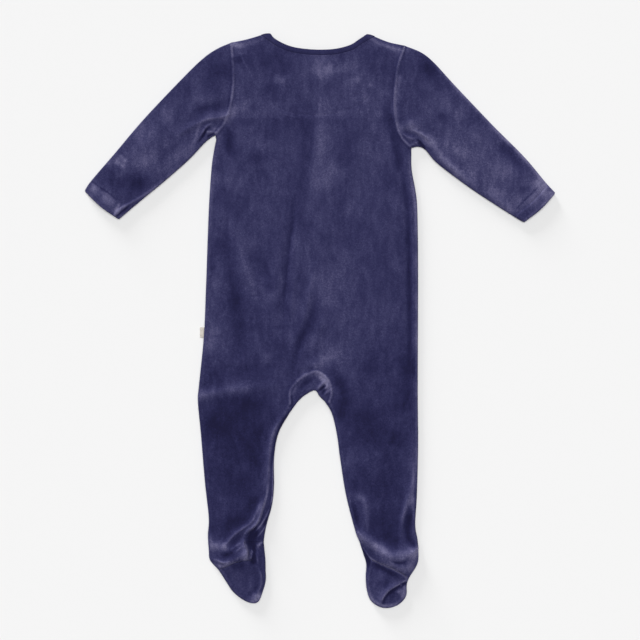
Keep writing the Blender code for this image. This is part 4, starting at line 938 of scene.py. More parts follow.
    def wrap(self, sections: Array, columns: int, gap: float = SEAM_GAP / 2,
             lower: Array | None = None) -> Array:
        """Brings the cloth from the lower layer round an edge to its seam on the upper side.

        Args:
            sections: Rows of a place on the edge and one on the seam.
            columns: Steps from the turn to the seam.
            gap: How far short of the seam it ends.
            lower: Places where it leaves the lower layer, if not right behind the turn.

        Returns:
            A grid of outer and inner points.
        """
        edge, seam = sections[:, :2], sections[:, 2:]
        inwards = unit(seam - edge)
        upper = edge + inwards * FOLD_RADIUS
        turned = self.turn(upper if lower is None else lower, upper, edge)
        shares = np.sin(np.linspace(0, math.pi / 2, columns + 1))[1:]
        flat = across(upper, seam - inwards * gap, shares)
        top = self.over(flat.reshape(-1, 2)).reshape(*flat.shape[:2], PAIR)
        return np.concatenate([turned, top], axis=1)


def centre_line(halves: Sequence[Pattern]) -> Array:
    """Returns the line where the two fronts meet, from the neck to the gusset."""
    half = halves[0]
    return np.array([half.neck_seam(half.front_neck)[-1], half.chest,
                     half.gusset_line(SEAM_GAP)[0]])


# --- cloth ---


def within(places: Array, outline: Array) -> Array:
    """Returns which places are inside a closed outline."""
    inside = np.zeros(len(places), bool)
    x, y = places.T
    for (ax, ay), (bx, by) in zip(outline.tolist(), np.roll(outline, -1, axis=0).tolist()):
        if ay != by:
            inside ^= ((ay > y) != (by > y)) & (x < ax + (y - ay) / (by - ay) * (bx - ax))
    return inside


def filled(outline: Array, spacing: float, rings: Iterable[float] = RINGS,
           lines: Iterable[Array] = (),
           holes: Iterable[Row] = ()) -> tuple[Array, list[tuple[int, ...]]]:
    """Fills an outline with points and triangles.

    Args:
        outline: The closed outline, without its first point again.
        spacing: Distance between points inside.
        rings: Distances from the outline of the rows of points beside it.
        lines: Polylines beside which the points are closer.
        holes: The middle and radius of each round hole.

    Returns:
        The places, the outline's first, and the triangles as indices into them.
    """
    x, y = outline.T
    if x @ np.roll(y, -1) < y @ np.roll(x, -1):
        outline = outline[::-1]
    tree = kdtree.KDTree(len(outline))
    for i, (px, py) in enumerate(outline.tolist()):
        tree.insert((px, py, 0), i)
    tree.balance()

    def clear(places: Array, distance: float) -> list[list[float]]:
        """Returns the places that are further than this from the outline's points."""
        return [p for p in places.tolist() if tree.find((p[0], p[1], 0))[2] > distance]

    along = unit(np.roll(outline, -1, axis=0) - np.roll(outline, 1, axis=0))
    inwards = np.stack([-along[:, 1], along[:, 0]], axis=1)
    places = outline.tolist()
    widest = 0.0
    for ring in rings:
        step = 1 if ring < 3 else 2
        places += clear((outline + inwards * ring)[::step], ring * RING_CLEAR)
        widest = ring
    close: set[tuple[int, int]] = set()
    for line in lines:
        rows = np.vstack([shifted(line, offset) for offset in BESIDE_CREASE])
        for place in clear(rows[within(rows, outline)], widest + STEP_CLEAR):
            cell = (round(place[0] / CREASE_CELL), round(place[1] / CREASE_CELL))
            if cell not in close:
                close.add(cell)
                places.append(place)
    starts, ends = outline, np.roll(outline, -1, axis=0)
    low, high = outline.min(axis=0), outline.max(axis=0)
    hexes: list[list[float]] = []
    for k, level in enumerate(np.arange(low[1], high[1], spacing * ROW_RISE)):
        cut = (starts[:, 1] > level) != (ends[:, 1] > level)
        a, b = starts[cut], ends[cut]
        hits = np.sort(a[:, 0] + (level - a[:, 1]) / (b[:, 1] - a[:, 1]) * (b[:, 0] - a[:, 0]))
        for left, right in zip(hits[::2], hits[1::2]):
            first = math.ceil(left / spacing - k % 2 / 2) + k % 2 / 2
            row = np.arange(first, right / spacing) * spacing
            hexes += clear(np.column_stack([row, np.full(len(row), level)]),
                           widest + spacing * STEP_CLEAR)
    spare = np.array(hexes).reshape(-1, 2)
    for line in lines:
        spare = spare[nearest(spare, line, CREASE_BAND)[0] > CREASE_BAND]
    places += spare.tolist()
    turn = np.linspace(0, 2 * math.pi, HOLE_POINTS, endpoint=False)
    for *middle, radius in holes:
        places = [place for place in places if math.dist(place, middle) > radius + HOLE_BAND]
        for far in ROUND_HOLE:
            circle = np.stack([np.cos(turn), np.sin(turn)], axis=1) * (radius + far)
            places += (circle + middle).tolist()
    triangles = geometry.delaunay_2d_cdt([Vector(p) for p in places], [],
                                         [list(range(len(outline)))], 1, WELD, True)
    origins = [origin[0] if origin else None for origin in triangles[3]]
    chosen = [np.array(places[o]) if o is not None else np.array(v)
              for o, v in zip(origins, triangles[0])]
    inside = [tuple(face) for face, origin in zip(triangles[2], triangles[5]) if origin]
    for *middle, radius in holes:
        inside = [face for face in inside
                  if math.dist(sum(chosen[i] for i in face) / len(face), middle) > radius]
    return np.array(chosen), inside


def new_piece(name: str, points: Array, faces: Iterable[Sequence[int]], nap_and_painted_light: Array) -> Piece:
    """Makes a piece of cloth, with its faces turned outwards.

    Args:
        name: Its name.
        points: Its points.
        faces: Its faces, as indices into them.
        nap_and_painted_light: How far the colour is made lighter or darker at each point: the
            pile's own tone, with painted shade and painted highlights.

    Returns:
        The piece, in the scene.
    """
    mesh = bpy.data.meshes.new(name)
    mesh.from_pydata(points * MM, [], faces)
    made = bmesh.new()
    made.from_mesh(mesh)
    bmesh.ops.recalc_face_normals(made, faces=made.faces)
    made.to_mesh(mesh)
    made.free()
    mesh.shade_smooth()
    mesh.attributes.new(NAP_AND_PAINTED_LIGHT, "FLOAT", "POINT").data.foreach_set("value", nap_and_painted_light.astype(np.float32))
    return placed(mesh)


def placed(mesh: bpy.types.Mesh) -> Piece:
    """Returns a new object in the scene, which has a mesh and its name."""
    found = bpy.data.objects.new(mesh.name, mesh)
    bpy.context.scene.collection.objects.link(found)
    return found


class Cloth:
    """A piece of cloth while it is made: outer points, the points behind them, and faces."""

    def __init__(self) -> None:
        """Starts with no points."""
        self.points: list[list[float]] = []
        self.found: dict[tuple[int, ...], int] = {}
        self.faces: list[tuple[int, ...]] = []

    def add(self, pairs: Array) -> list[int]:
        """Adds rows of outer and inner point, and returns their indices. A point is shared."""
        indices = []
        for pair in pairs.tolist():
            key = tuple(round(value * cells) for value, cells in zip(pair, CELLS))
            if key not in self.found:
                self.found[key] = len(self.points)
                self.points.append(pair)
            indices.append(self.found[key])
        return indices

    def grid(self, rows: Array) -> None:
        """Adds a grid of point pairs with its faces."""
        lines = np.array(self.add(rows.reshape(-1, PAIR))).reshape(rows.shape[:2]).tolist()
        for upper, lower in zip(lines, lines[1:]):
            for quad in zip(upper, upper[1:], lower[1:], lower):
                self.face(quad)

    def patch(self, pairs: Array, triangles: Iterable[tuple[int, ...]]) -> None:
        """Adds point pairs and the triangles between them."""
        order = self.add(pairs)
        for triangle in triangles:
            self.face(order[i] for i in triangle)

    def face(self, corners: Iterable[int]) -> None:
        """Adds a face without the corners that repeat, if more than two are left."""
        face = tuple(dict.fromkeys(corners))
        if len(face) > 2:
            self.faces.append(face)

    def finish(self, name: str, lay: Lay) -> Piece:
        """Adds the inner face and the rim, and makes the piece, with its pile tone and its painted
        light and shade.

        Args:
            name: The piece's name.
            lay: How the garment lies, for the pile tone and the painted light and shade.

        Returns:
            The piece, in the scene.
        """
        pairs = np.array(self.points)
        count = len(pairs)
        edges: dict[frozenset[int], list[tuple[int, int]]] = {}
        for face in self.faces:
            for a, b in zip(face, (*face[1:], face[0])):
                edges.setdefault(frozenset((a, b)), []).append((a, b))
        faces = [*self.faces, *(tuple(i + count for i in face[::-1]) for face in self.faces)]
        faces += [(b, a, a + count, b + count) for (a, b), *more in edges.values() if not more]
        places, high = pairs[:, :2], pairs[:, 2] > EDGE / 2
        nap_and_painted_light = np.where(high, lay.nap_and_painted_light(places), lay.nap_and_painted_light(places, Layer.LOWER))
        return new_piece(name, np.vstack([pairs[:, :3], pairs[:, 3:]]), faces, np.tile(nap_and_painted_light, 2))


@dataclass(frozen=True)
class Cut:
    """How a piece of cloth was cut, and what it stands for.

    nodes are the solids that it replaces, flat is the width and length of the cut in metres, area
    its flat area where it isn't a rectangle, and slot its material's in the record. Nothing in this
    script reads flat or area.
    """

    nodes: tuple[str, ...]
    flat: tuple[float, float]
    area: float | None = None
    rests_on: tuple[str, ...] = ()
    slot: str = "velour"


def dress(piece: Piece, finishes: Finishes, cut: Cut) -> None:
    """Gives a piece of cloth its finish, hangs it on the body, and hides the solids that it stands
    for.

    Args:
        piece: The piece.
        finishes: The garment's materials.
        cut: How it was cut, and what it stands for.
    """
    piece.data.materials.append(finishes[cut.slot])
    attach(piece, BODY)
    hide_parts(*cut.nodes)
    LOG.info("%s: %d faces", piece.name, len(piece.data.polygons))


# --- finishes ---


class Graph:
    """A shader's node tree while it is wired."""

    def __init__(self, tree: bpy.types.NodeTree) -> None:
        """Takes the tree to work in."""
        self.tree = tree

    def node(self, kind: str, inputs: dict[str | int, object] | None = None,
             **settings: object) -> bpy.types.Node:
        """Adds a node.

        Args:
            kind: Its type, without the leading ShaderNode.
            inputs: A value, or the socket to link, for each input named.
            settings: Its properties.

        Returns:
            The node.
        """
        made = self.tree.nodes.new(f"ShaderNode{kind}")
        for name, value in settings.items():
            setattr(made, name, value)
        self.feed(made, inputs or {})
        return made

    def feed(self, node: bpy.types.Node, inputs: dict[str | int, object]) -> None:
        """Gives each input named its value, or links it where that is a socket."""
        for key, value in inputs.items():
            if isinstance(value, Socket):
                self.tree.links.new(value, node.inputs[key])
            else:
                node.inputs[key].default_value = value

    def place(self) -> Socket:
        """Returns the place on the garment, in metres."""
        return self.node("TexCoord").outputs["Object"]

    def blend(self, share: Socket, first: Colour, second: Colour) -> Socket:
        """Returns the mix of two colours that has this share of the second."""
        inputs = {"Factor": share, 6: (*first, 1), 7: (*second, 1)}
        return self.node("Mix", inputs, data_type="RGBA").outputs[2]

    def bump(self, height: Socket, strength: float, depth: float) -> Socket:
        """Returns the normal of a surface with this height, of a depth in metres."""
        inputs = {"Height": height, "Strength": strength, "Distance": depth}
        return self.node("Bump", inputs).outputs[0]

    def math(self, operation: str, first: object, second: object = 0.0,
             clamp: bool = False) -> Socket:
        """Returns the result of a sum of two values or sockets."""
        made = self.node("Math", {0: first, 1: second}, operation=operation, use_clamp=clamp)
        return made.outputs[0]

    def noise(self, vector: Socket, scale: float, detail: float = 2.0,
              roughness: float = 0.5, distortion: float = 0.0) -> Socket:
        """Returns a noise pattern's value."""
        made = self.node("TexNoise", {"Vector": vector, "Scale": scale, "Detail": detail,
                                      "Roughness": roughness, "Distortion": distortion})
        return made.outputs["Fac"]

    def spread(self, value: Socket, low: float, high: float,
               to_low: float = 0.0, to_high: float = 1.0) -> Socket:
        """Returns a value brought from one range to another, and kept inside it."""
        made = self.node("MapRange", {"Value": value, "From Min": low, "From Max": high,
                                      "To Min": to_low, "To Max": to_high})
        return made.outputs[0]


@dataclass(frozen=True)
class Fleck:
    """One size of the light and dark in the pile: how strong it is, and its noise.

    length is its scale's share along the garment, turn the angle that it lies at, and spread half
    the range of the noise that is brought to -1 and 1.
    """

    strength: float
    scale: float
    detail: float = 2.0
    roughness: float = 0.5
    distortion: float = 0.0
    length: float = 1.0
    turn: float = 0.0
    spread: float = 0.2

    def value(self, graph: Graph, place: Socket) -> Socket:
        """Returns it at a place, from -1 to 1."""
        turned = graph.node("Mapping", {"Vector": place, "Scale": (1.0, self.length, 1.0),
                                        "Rotation": (0, 0, self.turn)}).outputs[0]
        found = graph.noise(turned, self.scale, self.detail, self.roughness, self.distortion)
        return graph.spread(found, 0.5 - self.spread, 0.5 + self.spread, -1, 1)


TUFT = Fleck(0.06, 430, 2, 0.6, spread=0.25)
FIBRE = Fleck(0.08, 1500, 1, length=0.6, spread=0.25)
PILE = {  # what each input of the group scales
    "Patches": (Fleck(0.045, 21, 3, 0.5, 0.4, length=0.7),
                Fleck(0.055, 56, 3, 0.6, 0.6, length=0.7)),
    "Streaks": (Fleck(0.035, 180, length=0.3, turn=0.08),),
    "Grain": (TUFT, FIBRE),
}
TUFT_HEIGHT = 0.6  # of a tuft, where a fibre's is 1
HIGHEST = 1 + TUFT_HEIGHT


def pile_group() -> bpy.types.NodeTree:
    """Makes the group that both the velour and the binding use for their pile and its marks.

    Returns:
        A group that takes Vector, Patches, Streaks and Grain, and gives Shade and Height.
    """
    name = "brushed pile"
    if name in bpy.data.node_groups:
        return bpy.data.node_groups[name]
    tree = bpy.data.node_groups.new(name, "ShaderNodeTree")
    tree.interface.new_socket("Vector", in_out="INPUT", socket_type="NodeSocketVector")
    for label in PILE:
        socket = tree.interface.new_socket(label, in_out="INPUT", socket_type="NodeSocketFloat")
        socket.default_value = 1.0
    for label in ("Shade", "Height"):
        tree.interface.new_socket(label, in_out="OUTPUT", socket_type="NodeSocketFloat")
    graph = Graph(tree)
    inside = tree.nodes.new("NodeGroupInput")
    outside = tree.nodes.new("NodeGroupOutput")
    values = {fleck: fleck.value(graph, inside.outputs["Vector"])
              for flecks in PILE.values() for fleck in flecks}
    shade: object = 0.0
    for label, flecks in PILE.items():
        part: object = 0.0
        for fleck in flecks:
            part = graph.math("ADD", graph.math("MULTIPLY", values[fleck], fleck.strength), part)
        shade = graph.math("ADD", graph.math("MULTIPLY", part, inside.outputs[label]), shade)
    height = graph.math("ADD", graph.math("MULTIPLY", values[TUFT], TUFT_HEIGHT), values[FIBRE])
    graph.feed(outside, {"Shade": shade, "Height": height})
    return tree


def new_material(name: str) -> tuple[Material, Graph, bpy.types.Node]:
    """Returns a new material, its graph and its Principled BSDF."""
    found = bpy.data.materials.new(name)
    found.use_nodes = True
    return found, Graph(found.node_tree), found.node_tree.nodes["Principled BSDF"]


@dataclass(frozen=True)
class Velour:
    """Cotton velour: its dye from dark to light, which the pile's tone and the painted shade and
    highlights choose between, and its sheen.
    """

    name: str = "navy velour"
    shades: tuple[Colour, ...] = ((0.0080, 0.0075, 0.0340), (0.0131, 0.0128, 0.0521),
                                  (0.0236, 0.0232, 0.0763), (0.0426, 0.0418, 0.1096),
                                  (0.0838, 0.0796, 0.1666), (0.1500, 0.1420, 0.2500))
    level: float = 0.452
    gain: float = 1.70
    patches: float = 1.0
    streaks: float = 1.0
    grain: float = 1.0
    roughness: Row = (0.82, 0.98)  # between the fibres and at their tips
    relief: Row = (0.35, 0.00035)  # strength, and depth in metres
    sheen: float = 0.35
    sheen_roughness: float = 0.35
    sheen_tint: Colour = (0.48, 0.46, 0.80)
    specular: float = 0.12

    def material(self) -> Material:
        """Makes the material."""
        found, graph, shader = new_material(self.name)
        pile = graph.node("Group", {"Vector": graph.place(), "Patches": self.patches,
                                    "Streaks": self.streaks, "Grain": self.grain},
                          node_tree=pile_group())
        nap_and_painted_light = graph.node("Attribute", attribute_name=NAP_AND_PAINTED_LIGHT).outputs["Fac"]
        # the pile's own tone and the attribute's painted shade and highlights pick the colour on
        # the ramp
        pile_and_painted_light = graph.math("MULTIPLY", graph.math("ADD", pile.outputs["Shade"], nap_and_painted_light), self.gain)
        ramp = graph.node("ValToRGB", {"Fac": graph.math("ADD", pile_and_painted_light, self.level, True)})
        stops = ramp.color_ramp.elements
        for number, colour in enumerate(self.shades):
            share = number / (len(self.shades) - 1)
            stop = stops[number] if number < 2 else stops.new(share)
            stop.position, stop.color = share, (*colour, 1)
        height = pile.outputs["Height"]
        graph.feed(shader, {
            "Base Color": ramp.outputs["Color"],
            "Roughness": graph.spread(height, -HIGHEST, HIGHEST, *self.roughness),
            "Normal": graph.bump(height, *self.relief),
            "Sheen Weight": self.sheen,
            "Sheen Roughness": self.sheen_roughness,
            "Sheen Tint": (*self.sheen_tint, 1),
            "Specular IOR Level": self.specular,
        })
        return found


@dataclass(frozen=True)
class Woven:
    """A plain tape: two colours of thread and how many to the metre."""

    name: str
    warp: Colour
    weft: Colour
    threads: float
    unevenness: Row = (0.6, 1.0)  # distortion and detail of the threads' waves
    slub_scale: float = 400.0
    wear: Row = (0.1, 1.0)  # between which heights one colour goes over into the other
    relief: Row = (0.5, 0.0002)  # strength, and depth in metres
    roughness: float = 0.85

    def material(self) -> Material:
        """Makes the material."""
        found, graph, shader = new_material(self.name)
        place = graph.place()
        inputs = {"Vector": place, "Scale": self.threads * WAVE_SCALE,
                  "Distortion": self.unevenness[0], "Detail": self.unevenness[1]}
        waves = [graph.node("TexWave", inputs, bands_direction=direction).outputs["Fac"]
                 for direction in "XY"]
        weave = graph.math("MULTIPLY", *waves)
        slub = graph.math("MULTIPLY", graph.noise(place, self.slub_scale), 0.5)
        worn = graph.spread(graph.math("ADD", weave, slub), *self.wear)
        graph.feed(shader, {
            "Base Color": graph.blend(worn, self.warp, self.weft),
            "Normal": graph.bump(weave, *self.relief),
            "Roughness": self.roughness,
        })
        return found


@dataclass(frozen=True)
class Enamel:
    """A press stud's baked coat, rubbed thin in patches."""

    name: str = "stud enamel"
    coat: Colour = (0.035, 0.035, 0.10)
    rubbed: Colour = (0.12, 0.12, 0.22)
    wear: Row = (900, 3, 0.6)  # scale, detail and roughness of its noise
    wear_range: Row = (0.45, 0.8)  # between which values it goes over into the rubbed colour
    roughness: Row = (0.28, 0.5)  # of the coat, and where it is rubbed

    def material(self) -> Material:
        """Makes the material."""
        found, graph, shader = new_material(self.name)
        worn = graph.spread(graph.noise(graph.place(), *self.wear), *self.wear_range)
        graph.feed(shader, {"Base Color": graph.blend(worn, self.coat, self.rubbed),
                            "Roughness": graph.spread(worn, 0, 1, *self.roughness)})
        return found


def make_finishes() -> Finishes:
    """Makes every material of the garment once, each for its slot in the record."""
    return {
        "velour": Velour().material(),
        "binding": Velour("neck binding", level=0.31, gain=1.2, patches=0.6, streaks=0.6,
                          grain=0.8, sheen=0.3).material(),
        "tape": Woven("placket tape", (0.018, 0.018, 0.055), (0.040, 0.039, 0.095),
                      1400).material(),
        "stud": Enamel().material(),
        "label": Woven("label tape", (0.42, 0.38, 0.33), (0.74, 0.70, 0.65), 2000).material(),
    }


# --- the pieces ---


@dataclass
class Back:
    """The back of the body and both legs in one piece, down to its heels, which curl over."""

    spacing: float = 2.7
    crease_spacing: float = 1.3  # of the points along a narrow crease
    narrow: float = 2.5  # half the width of the widest one that gets them
    curl_depth: float = 5.0
    curl_reach: float = 1.7
    curl_rise: float = 3.6
    heel_rise: float = 2.2
    heel_length: float = 22.0
    heel_reach: float = 2.5  # of that length, over which it dies away
    end_share: float = 0.02  # of the seam's length, at either end, where it stays as it starts
    end_power: float = 0.6  # how fast it grows from there
    inner_shares: Row = (0.55, 0.9)  # how much of the curl's reach and rise its inner face has
    curl_waves: Rows = ((0.25, 11, 0), (0.15, 23, 1))
    cut: Cut = Cut(("back",), (0.268, 0.640), 0.131, ("front_left",))

    def chain(self, half: Pattern) -> Array:
        """Returns one side of the outline, from the centre of the neck to the gusset."""
        gap = np.array([half.side * SEAM_GAP / 2, 0])
        down = np.array([0, SEAM_GAP / 2])
        neck = smooth(half.neck_seam(half.back_neck, SEAM_GAP), DRAWN_STEPS)[::-1]
        shoulder = half.shoulders()[::-1, 2:] - down
        armhole = beyond(half.armhole_line(), half.shoulder_seam - FOLD_RADIUS + 1)
        foot = half.feet()[:, 2:]
        return joined(
            neck[:-1], shoulder, armhole - gap, half.sides()[1:, 2:] - gap,
            foot[1:HEEL] - gap, half.heel_line() + down, foot[-HEEL + 1:-1] + gap,
            beyond(half.inseams()[:, 2:], 1.0)[::-1] + gap,
            half.gusset_line(SEAM_GAP)[::-1])

    def build(self, lay: Lay, finishes: Finishes) -> None:
        """Builds the back."""
        left, right = (self.chain(half) for half in lay.halves)
        outline = spaced(np.vstack([left, right[-2::-1]]))[:-1]
        lines = [crease.drawn(self.crease_spacing) for crease in CREASES + TONE_AND_PAINTED_LIGHT_MARKS
                 if np.min(crease.width) < self.narrow]
        places, triangles = filled(outline, self.spacing, lines=lines)
        pairs = lay.over(places)
        for half in lay.halves:
            self.curl_heel(half, pairs)
        cloth = Cloth()
        cloth.patch(pairs, triangles)
        dress(cloth.finish("back_velour", lay), finishes, self.cut)

    def curl_heel(self, half: Pattern, pairs: Array) -> None:
        """Curls the heel's edge over its seam, so that it stands above the sole."""
        line = half.heel_line()
        distance, _, run = nearest(pairs[:, :2], line, 3 * self.heel_length)
        near = np.isfinite(distance) & (distance < self.heel_reach * self.heel_length)
        off, run = distance[near], run[near]
        length = run_of(line)[-1]
        share = run / length
        ends = np.sin(math.pi * np.clip(share, self.end_share, 1 - self.end_share))
        ends **= self.end_power
        angle = math.pi * np.clip(off / self.curl_depth, 0, 1)
        ragged = uneven(share, *self.curl_waves)
        reach = self.curl_reach * ends * np.sin(angle) * ragged
        rise = self.curl_rise * ends * (1 - np.cos(angle)) / 2
        rise += self.heel_rise * ends * bell(off, self.heel_length) * np.sin(angle / 2)
        rise *= np.where(off > self.curl_depth, bell(off - self.curl_depth, self.heel_length), 1.0)
        spots = np.clip(run, 0, length - NUDGE)
        along = unit(at_runs(line, spots + NUDGE) - at_runs(line, spots))
        out = np.stack([along[:, 1], -along[:, 0]], axis=1) * -half.side
        for first, (reach_share, rise_share) in ((0, (1.0, 1.0)), (3, self.inner_shares)):
            pairs[near, first:first + 2] += out * reach[:, None] * reach_share
            pairs[near, first + 2] += rise * rise_share


@dataclass
class Front:
    """One front with its leg, from the shoulder to the ankle, rolled round the edges."""

    half: Pattern
    spacing: float = 6.0
    rings: Row = (1.2, 3.0)
    shoulder_columns: int = 5  # from each turn to its seam
    side_columns: int = 7
    inseam_columns: int = 16
    holes: Rows = ()
    cut: Cut = Cut(("front_left",), (0.172, 0.620), 0.069)

    def build(self, lay: Lay, finishes: Finishes) -> None:
        """Builds the front."""
        half = self.half
        gap = np.array([half.side * SEAM_GAP / 2, 0])
        below = np.array([0, -SEAM_GAP])
        shoulders, sides, inseams = half.shoulders(), half.sides(), half.inseams()
        inseams[0] += np.tile(below, 2)
        flats = [rows[:, :2] + unit(rows[:, 2:] - rows[:, :2]) * FOLD_RADIUS
                 for rows in (shoulders, sides, inseams)]
        neck = half.neck_seam(half.front_neck, SEAM_GAP)
        corner = shoulders[-1, :2] + unit(neck[1] - neck[0]) * FOLD_RADIUS
        fade = np.linspace(0, 1, len(flats[0]))[:, None] ** 4
        flats[0] = flats[0] + (corner - flats[0][-1]) * fade
        line = smooth(neck, DRAWN_STEPS)
        centre = np.array([line[-1], half.chest, half.gusset_line(SEAM_GAP)[0]]) + gap
        crotch = half.gusset_line(SEAM_GAP)[1:-1]
        armhole = beyond(half.armhole_line(), 2.0)[:-2]
        outline = joined(flats[0], spaced(beyond(line, 2.5))[:-1], spaced(centre, 3), crotch,
                         flats[2], flats[1][::-1], spaced(armhole, 3)[::-1])
        places, triangles = filled(outline, self.spacing, self.rings, holes=self.holes)
        cloth = Cloth()
        cloth.patch(lay.under(places), triangles)
        cloth.grid(lay.wrap(shoulders, self.shoulder_columns, lower=flats[0]))
        cloth.grid(lay.wrap(sides, self.side_columns))
        cloth.grid(lay.wrap(inseams, self.inseam_columns))
        dress(cloth.finish(f"front_velour_{half.name}", lay), finishes, self.cut)


@dataclass
class Gusset:
    """The curved piece let into the crotch, folded over its edge."""

    sections: int = 90
    columns: int = 14  # of the part that faces up
    lower_columns: int = 5
    cut: Cut = Cut(("gusset",), (0.050, 0.085), 0.0029)

    def build(self, lay: Lay, finishes: Finishes) -> None:
        """Builds the gusset."""
        half = lay.halves[0]
        seam, edge = (curve(rows, self.sections) for rows in (half.gusset, half.crotch))
        rows = np.hstack([edge, seam])
        wrapped = lay.wrap(rows, self.columns, gap=0.0)
        flat = edge + unit(seam - edge) * FOLD_RADIUS
        lower = across(seam, flat, np.linspace(0, 1, self.lower_columns + 1))[:, :-1]
        under = lay.under(lower.reshape(-1, 2)).reshape(*lower.shape[:2], PAIR)
        cloth = Cloth()
        cloth.grid(np.concatenate([under, wrapped], axis=1))
        dress(cloth.finish("gusset_velour", lay), finishes, self.cut)


@dataclass
class Sleeve:
    """One sleeve: a flattened tube from the armhole to the cuff, with a turned-up hem."""

    half: Pattern
    columns: int = 64
    spacing: float = 1.7
    first_rows: Row = (0, 0.6, 1.2, 2, 3, 4.2)  # from the armhole
    even_from: float = 6.5  # where the even rows start
    hem_spacing: float = 0.8  # of the rows at the hem's stitched line
    cuff_spacing: float = 2.0  # of the rows from there to the cuff's end
    last_rows: Row = (3.2, 2.6, 2, 1.4, 0.9, 0.5, 0.2, 0.05, 0)  # from the cuff's end
    cap: float = 1 / 3  # of its length, over which the armhole's curve dies away
    cap_power: float = 1.5  # how fast it does so
    hem: float = 13.5
    slant: float = 1.35  # how much longer than the hem is deep the folds run along it
    hem_rise: float = 0.7
    hem_step: float = 0.5  # over how far the cloth rises to it
    stitch: float = 0.6
    stitch_width: float = 0.9
    lip: float = 1.4
    lip_drop: float = 0.9
    bow: float = 1.7  # how far the cuff's end bulges
    end_rows: int = 9  # rows at the cuff's end that tell its direction
    end_reach: float = 60.0  # distance from the cuff's end over which it is worked out
    corner: float = 3.2  # radius of its two corners on the plan
    cut: Cut = Cut(("sleeve_left",), (0.190, 0.225), 0.031)

    def rows(self) -> Array:
        """Returns rows of the outer fold and the underarm fold, closer at both ends."""
        sleeve = self.half.sleeves()
        total = run_of(sleeve)[-1]
        hem = total - self.hem * self.slant
        runs = [self.first_rows, *(np.arange(start, end, step) for start, end, step in (
            (self.even_from, hem - 3, self.spacing), (hem - 2, hem + 4, self.hem_spacing),
            (hem + 5, total - 4, self.cuff_spacing)))]
        return at_runs(sleeve, np.concatenate([*runs, total - np.array(self.last_rows)]))

    def lift(self, places: Array, end: Array) -> Array:
        """Returns how far the hem raises the cloth, with its stitched line and its lip."""
        off = np.minimum(nearest(places, end, self.end_reach)[0], FAR)
        steps = np.clip((off - self.hem) / self.hem_step, -STEEPEST, STEEPEST)
        rise = self.hem_rise / (1 + np.exp(steps))
        rise -= self.stitch * bell(off - self.hem, self.stitch_width)
        return rise - self.lip_drop * np.clip(1 - off / self.lip, 0, 1) ** 2

    def build(self, lay: Lay, finishes: Finishes) -> None:
        """Builds the sleeve."""
        half = self.half
        rows = self.rows()
        over, arm = rows[:, :2].copy(), rows[:, 2:].copy()
        run = run_of(rows)
        away = np.clip(1 - (run[-1] - run) / self.corner, 0, 1)
        rounding = self.corner * (1 - np.sqrt(1 - away**2))[:, None] * unit(arm - over)
        over, arm = over + rounding, arm - rounding
        down = unit(arm - over) * FOLD_RADIUS
        shares = np.linspace(0, 1, self.columns + 1)
        flat = across(over + down, arm - down, shares)
        before = -self.end_rows
        out = unit(over[-1] + arm[-1] - over[before] - arm[before]) * self.bow
        near_end = np.clip(1 - (run[-1] - run) / (4 * self.hem), 0, 1)
        flat += near_end[:, None, None] * np.sin(math.pi * shares)[None, :, None] * out
        end = np.vstack([over[-1], flat[-1], arm[-1]])
        away = np.array([half.side * SEAM_GAP, 0])
        bend = evenly(half.armhole_line(), self.columns) + away - flat[0]
        share = np.clip(1 - run / run[-1] / self.cap, 0, 1) ** self.cap_power
        flat = flat + bend[None] * share[:, None, None]
        over[0], arm[0] = over[0] + away, arm[0] + away
        shape = (len(rows), self.columns + 1, PAIR)
        hem = self.lift(flat.reshape(-1, 2), end)
        top = lay.over(flat.reshape(-1, 2), hem).reshape(shape)
        bottom = lay.under(flat.reshape(-1, 2)).reshape(shape)[:, ::-1]
        edge_hem = hem.reshape(shape[:2])
        near = lay.turn(flat[:, 0], flat[:, 0], over, edge_hem[:, 0])
        far = lay.turn(flat[:, -1], flat[:, -1], arm, edge_hem[:, -1])
        rings = np.concatenate([top, far[:, -2:0:-1], bottom, near[:, 1:-1], top[:, :1]], axis=1)
        cloth = Cloth()
        cloth.grid(rings)
        dress(cloth.finish(f"sleeve_velour_{half.name}", lay), finishes, self.cut)


